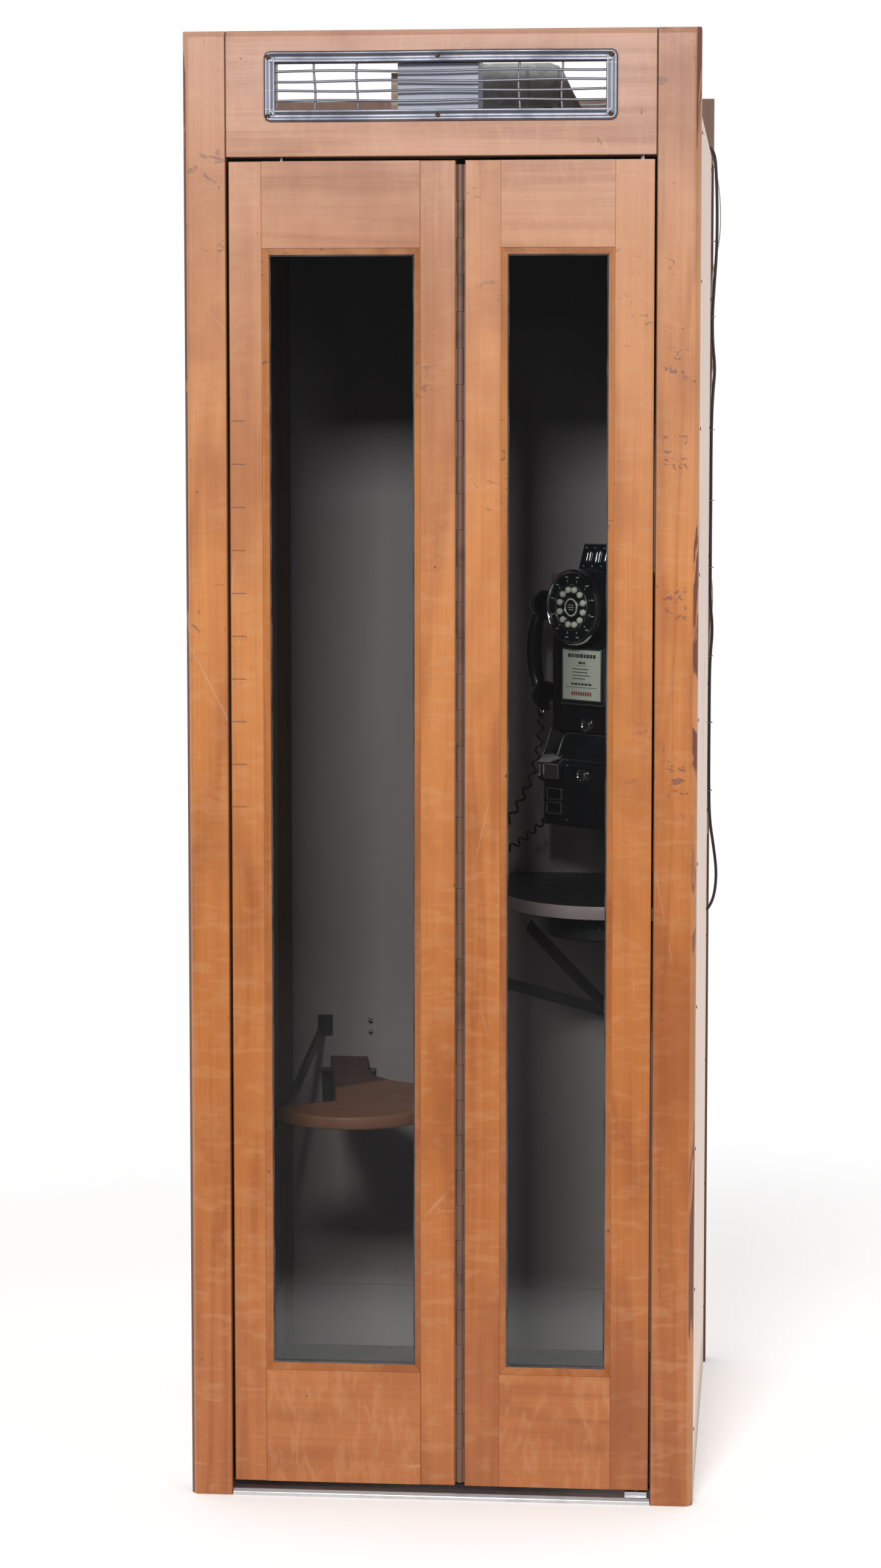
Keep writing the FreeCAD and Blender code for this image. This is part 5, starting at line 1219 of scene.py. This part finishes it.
def makeBellCable():
    line = curveLine(cableRoute(), "cableRoute")
    curve = bpy.data.curves.new("bellCable", "CURVE")
    curve.dimensions = "3D"
    curve.bevel_depth = 0.0025
    curve.bevel_resolution = 3
    curve.use_fill_caps = True
    spline = curve.splines.new("POLY")
    spline.points.add(len(line) - 1)
    for target, point in zip(spline.points, line):
        target.co = (*point, 1.0)
    spline.use_smooth = True
    cable = newObject("bellCable", curve)
    curve.materials.append(cordBlack)
    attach(cable, "booth")
    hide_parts("bell_cable")
    length = lengthOf(line)
    # a thin pale wire beside it, tacked at intervals with staples
    wire = [(371.3, 384, 2004), (379, 386, 1986), (385, 387, 1942), (386, 388, 1893), (380, 386, 1852),
            (372, 385, 1820), (371.4, 383, 1750), (378, 386, 1700), (372, 384, 1650), (371.3, 382, 1560),
            (371.3, 385, 1450), (371.5, 383, 1350), (379, 385, 1290), (371.4, 384, 1230), (371.3, 382, 1120),
            (371.3, 385, 1000), (371.3, 383, 900)]
    wirePiece("paleSideWire", curveLine(metres(wire), "wireRoute"), 0.0009, paleWire, smooth=60)
    bm = bmesh.new()
    for z in (1874, 1752, 1568, 1452, 1342, 1196, 1086, 973):
        loop = [(369.5, 373.2, z), (377.6, 373.4, z), (378.6, 376.5, z), (377.6, 386.2, z), (369.5, 386.4, z)]
        addSweep(bm, metres(loop), 0.0006, 8)
    finishPiece(meshFrom(bm, "cableStaples"), "booth", darkChrome, 60)


makeVent()
makeRoof()
makeBellCable()
makeGlazing()
makeFixings()
makeShelfParts()
print("grille, roof and fixings")
makeDial()
makeCard()
makeCoinHead()
makeLocks()
makeLowerTrim()
makeReturn()
makeHandset()
makeHook()
makeHandsetCord()
print("telephone")


# ---- stage, light and camera

studio = {"front": (0.06, 0.06, 0.065), "behind": (0.95, 0.95, 0.97)}


def makeStage():
    bm = bmesh.new()
    bmesh.ops.create_grid(bm, x_segments=1, y_segments=1, size=30.0)
    floor = meshFrom(bm, "studioFloor")
    floor.location.z = -0.0005
    s = Shade("paleFloor")
    away = s.node("ShaderNodeVectorMath", {"operation": "LENGTH"}, {0: s.place}).value("Value").band(0.7, 3.0)
    near = s.axis("Y").band(-1.9, -1.4)
    lit = s.mix(near, (0.0, 0.0, 0.0), s.mix(away, (0.28, 0.275, 0.27), (1.0, 1.0, 1.0)))
    tone = s.mix(near, (0.10, 0.10, 0.10), s.mix(away, (0.86, 0.85, 0.84), (0.0, 0.0, 0.0)))
    floor.data.materials.append(s.done(s.surface(Base_Color=tone, Roughness=0.9, Emission_Color=lit,
                                                 Emission_Strength=1.0)))
    world = bpy.data.worlds.new("studioSky")
    world.use_nodes = True
    world.node_tree.nodes.clear()
    sky = Graph()
    sky.tree = world.node_tree
    direction = sky.node("ShaderNodeTexCoord", {}, {}).value("Generated")
    ahead = sky.node("ShaderNodeSeparateXYZ", {}, {0: direction}).value("Y")
    seen = sky.node("ShaderNodeLightPath", {}, {}).value("Is Camera Ray")
    values = {0: ahead.band(-0.35, 0.3), 6: studio["front"], 7: studio["behind"]}
    glow = sky.node("ShaderNodeMix", {"data_type": "RGBA"}, values).value(2)
    tone = sky.node("ShaderNodeMix", {"data_type": "RGBA"}, {0: seen, 6: glow, 7: (1.0, 1.0, 1.0)}).value(2)
    surface = sky.node("ShaderNodeBackground", {}, {"Color": tone}).value()
    sky.node("ShaderNodeOutputWorld", {}, {"Surface": surface})
    scene.world = world


def softBox(name, place, target, size, power, tint=(1, 1, 1)):
    data = bpy.data.lights.new(name, "AREA")
    data.shape = "RECTANGLE"
    data.size, data.size_y = size
    data.energy = power
    data.color = tint
    light = newObject(name, data)
    light.location = place
    light.rotation_euler = (Vector(target) - Vector(place)).to_track_quat("-Z", "Y").to_euler()


def makeCamera():
    data = bpy.data.cameras.new("camera")
    data.lens = 84.0
    data.sensor_width = 36.0
    data.sensor_fit = "AUTO"
    data.clip_end = 60.0
    camera = newObject("camera", data)
    camera.location = (0.477, -5.671, 1.575)
    camera.rotation_euler = (math.radians(90.0 - 5.6), 0.0, math.radians(5.2))
    scene.camera = camera


makeStage()
softBox("keyBox", (-0.2, -5.2, 3.5), (0, 0, 1.2), (0.9, 0.7), 185.0)
softBox("leftBox", (-2.6, -4.4, 3.2), (0, 0, 1.2), (1.8, 2.4), 45.0)
softBox("rightBox", (3.4, -4.2, 2.6), (0, 0, 1.0), (1.8, 2.4), 60.0)
makeCamera()
scene.view_settings.view_transform = "Standard"
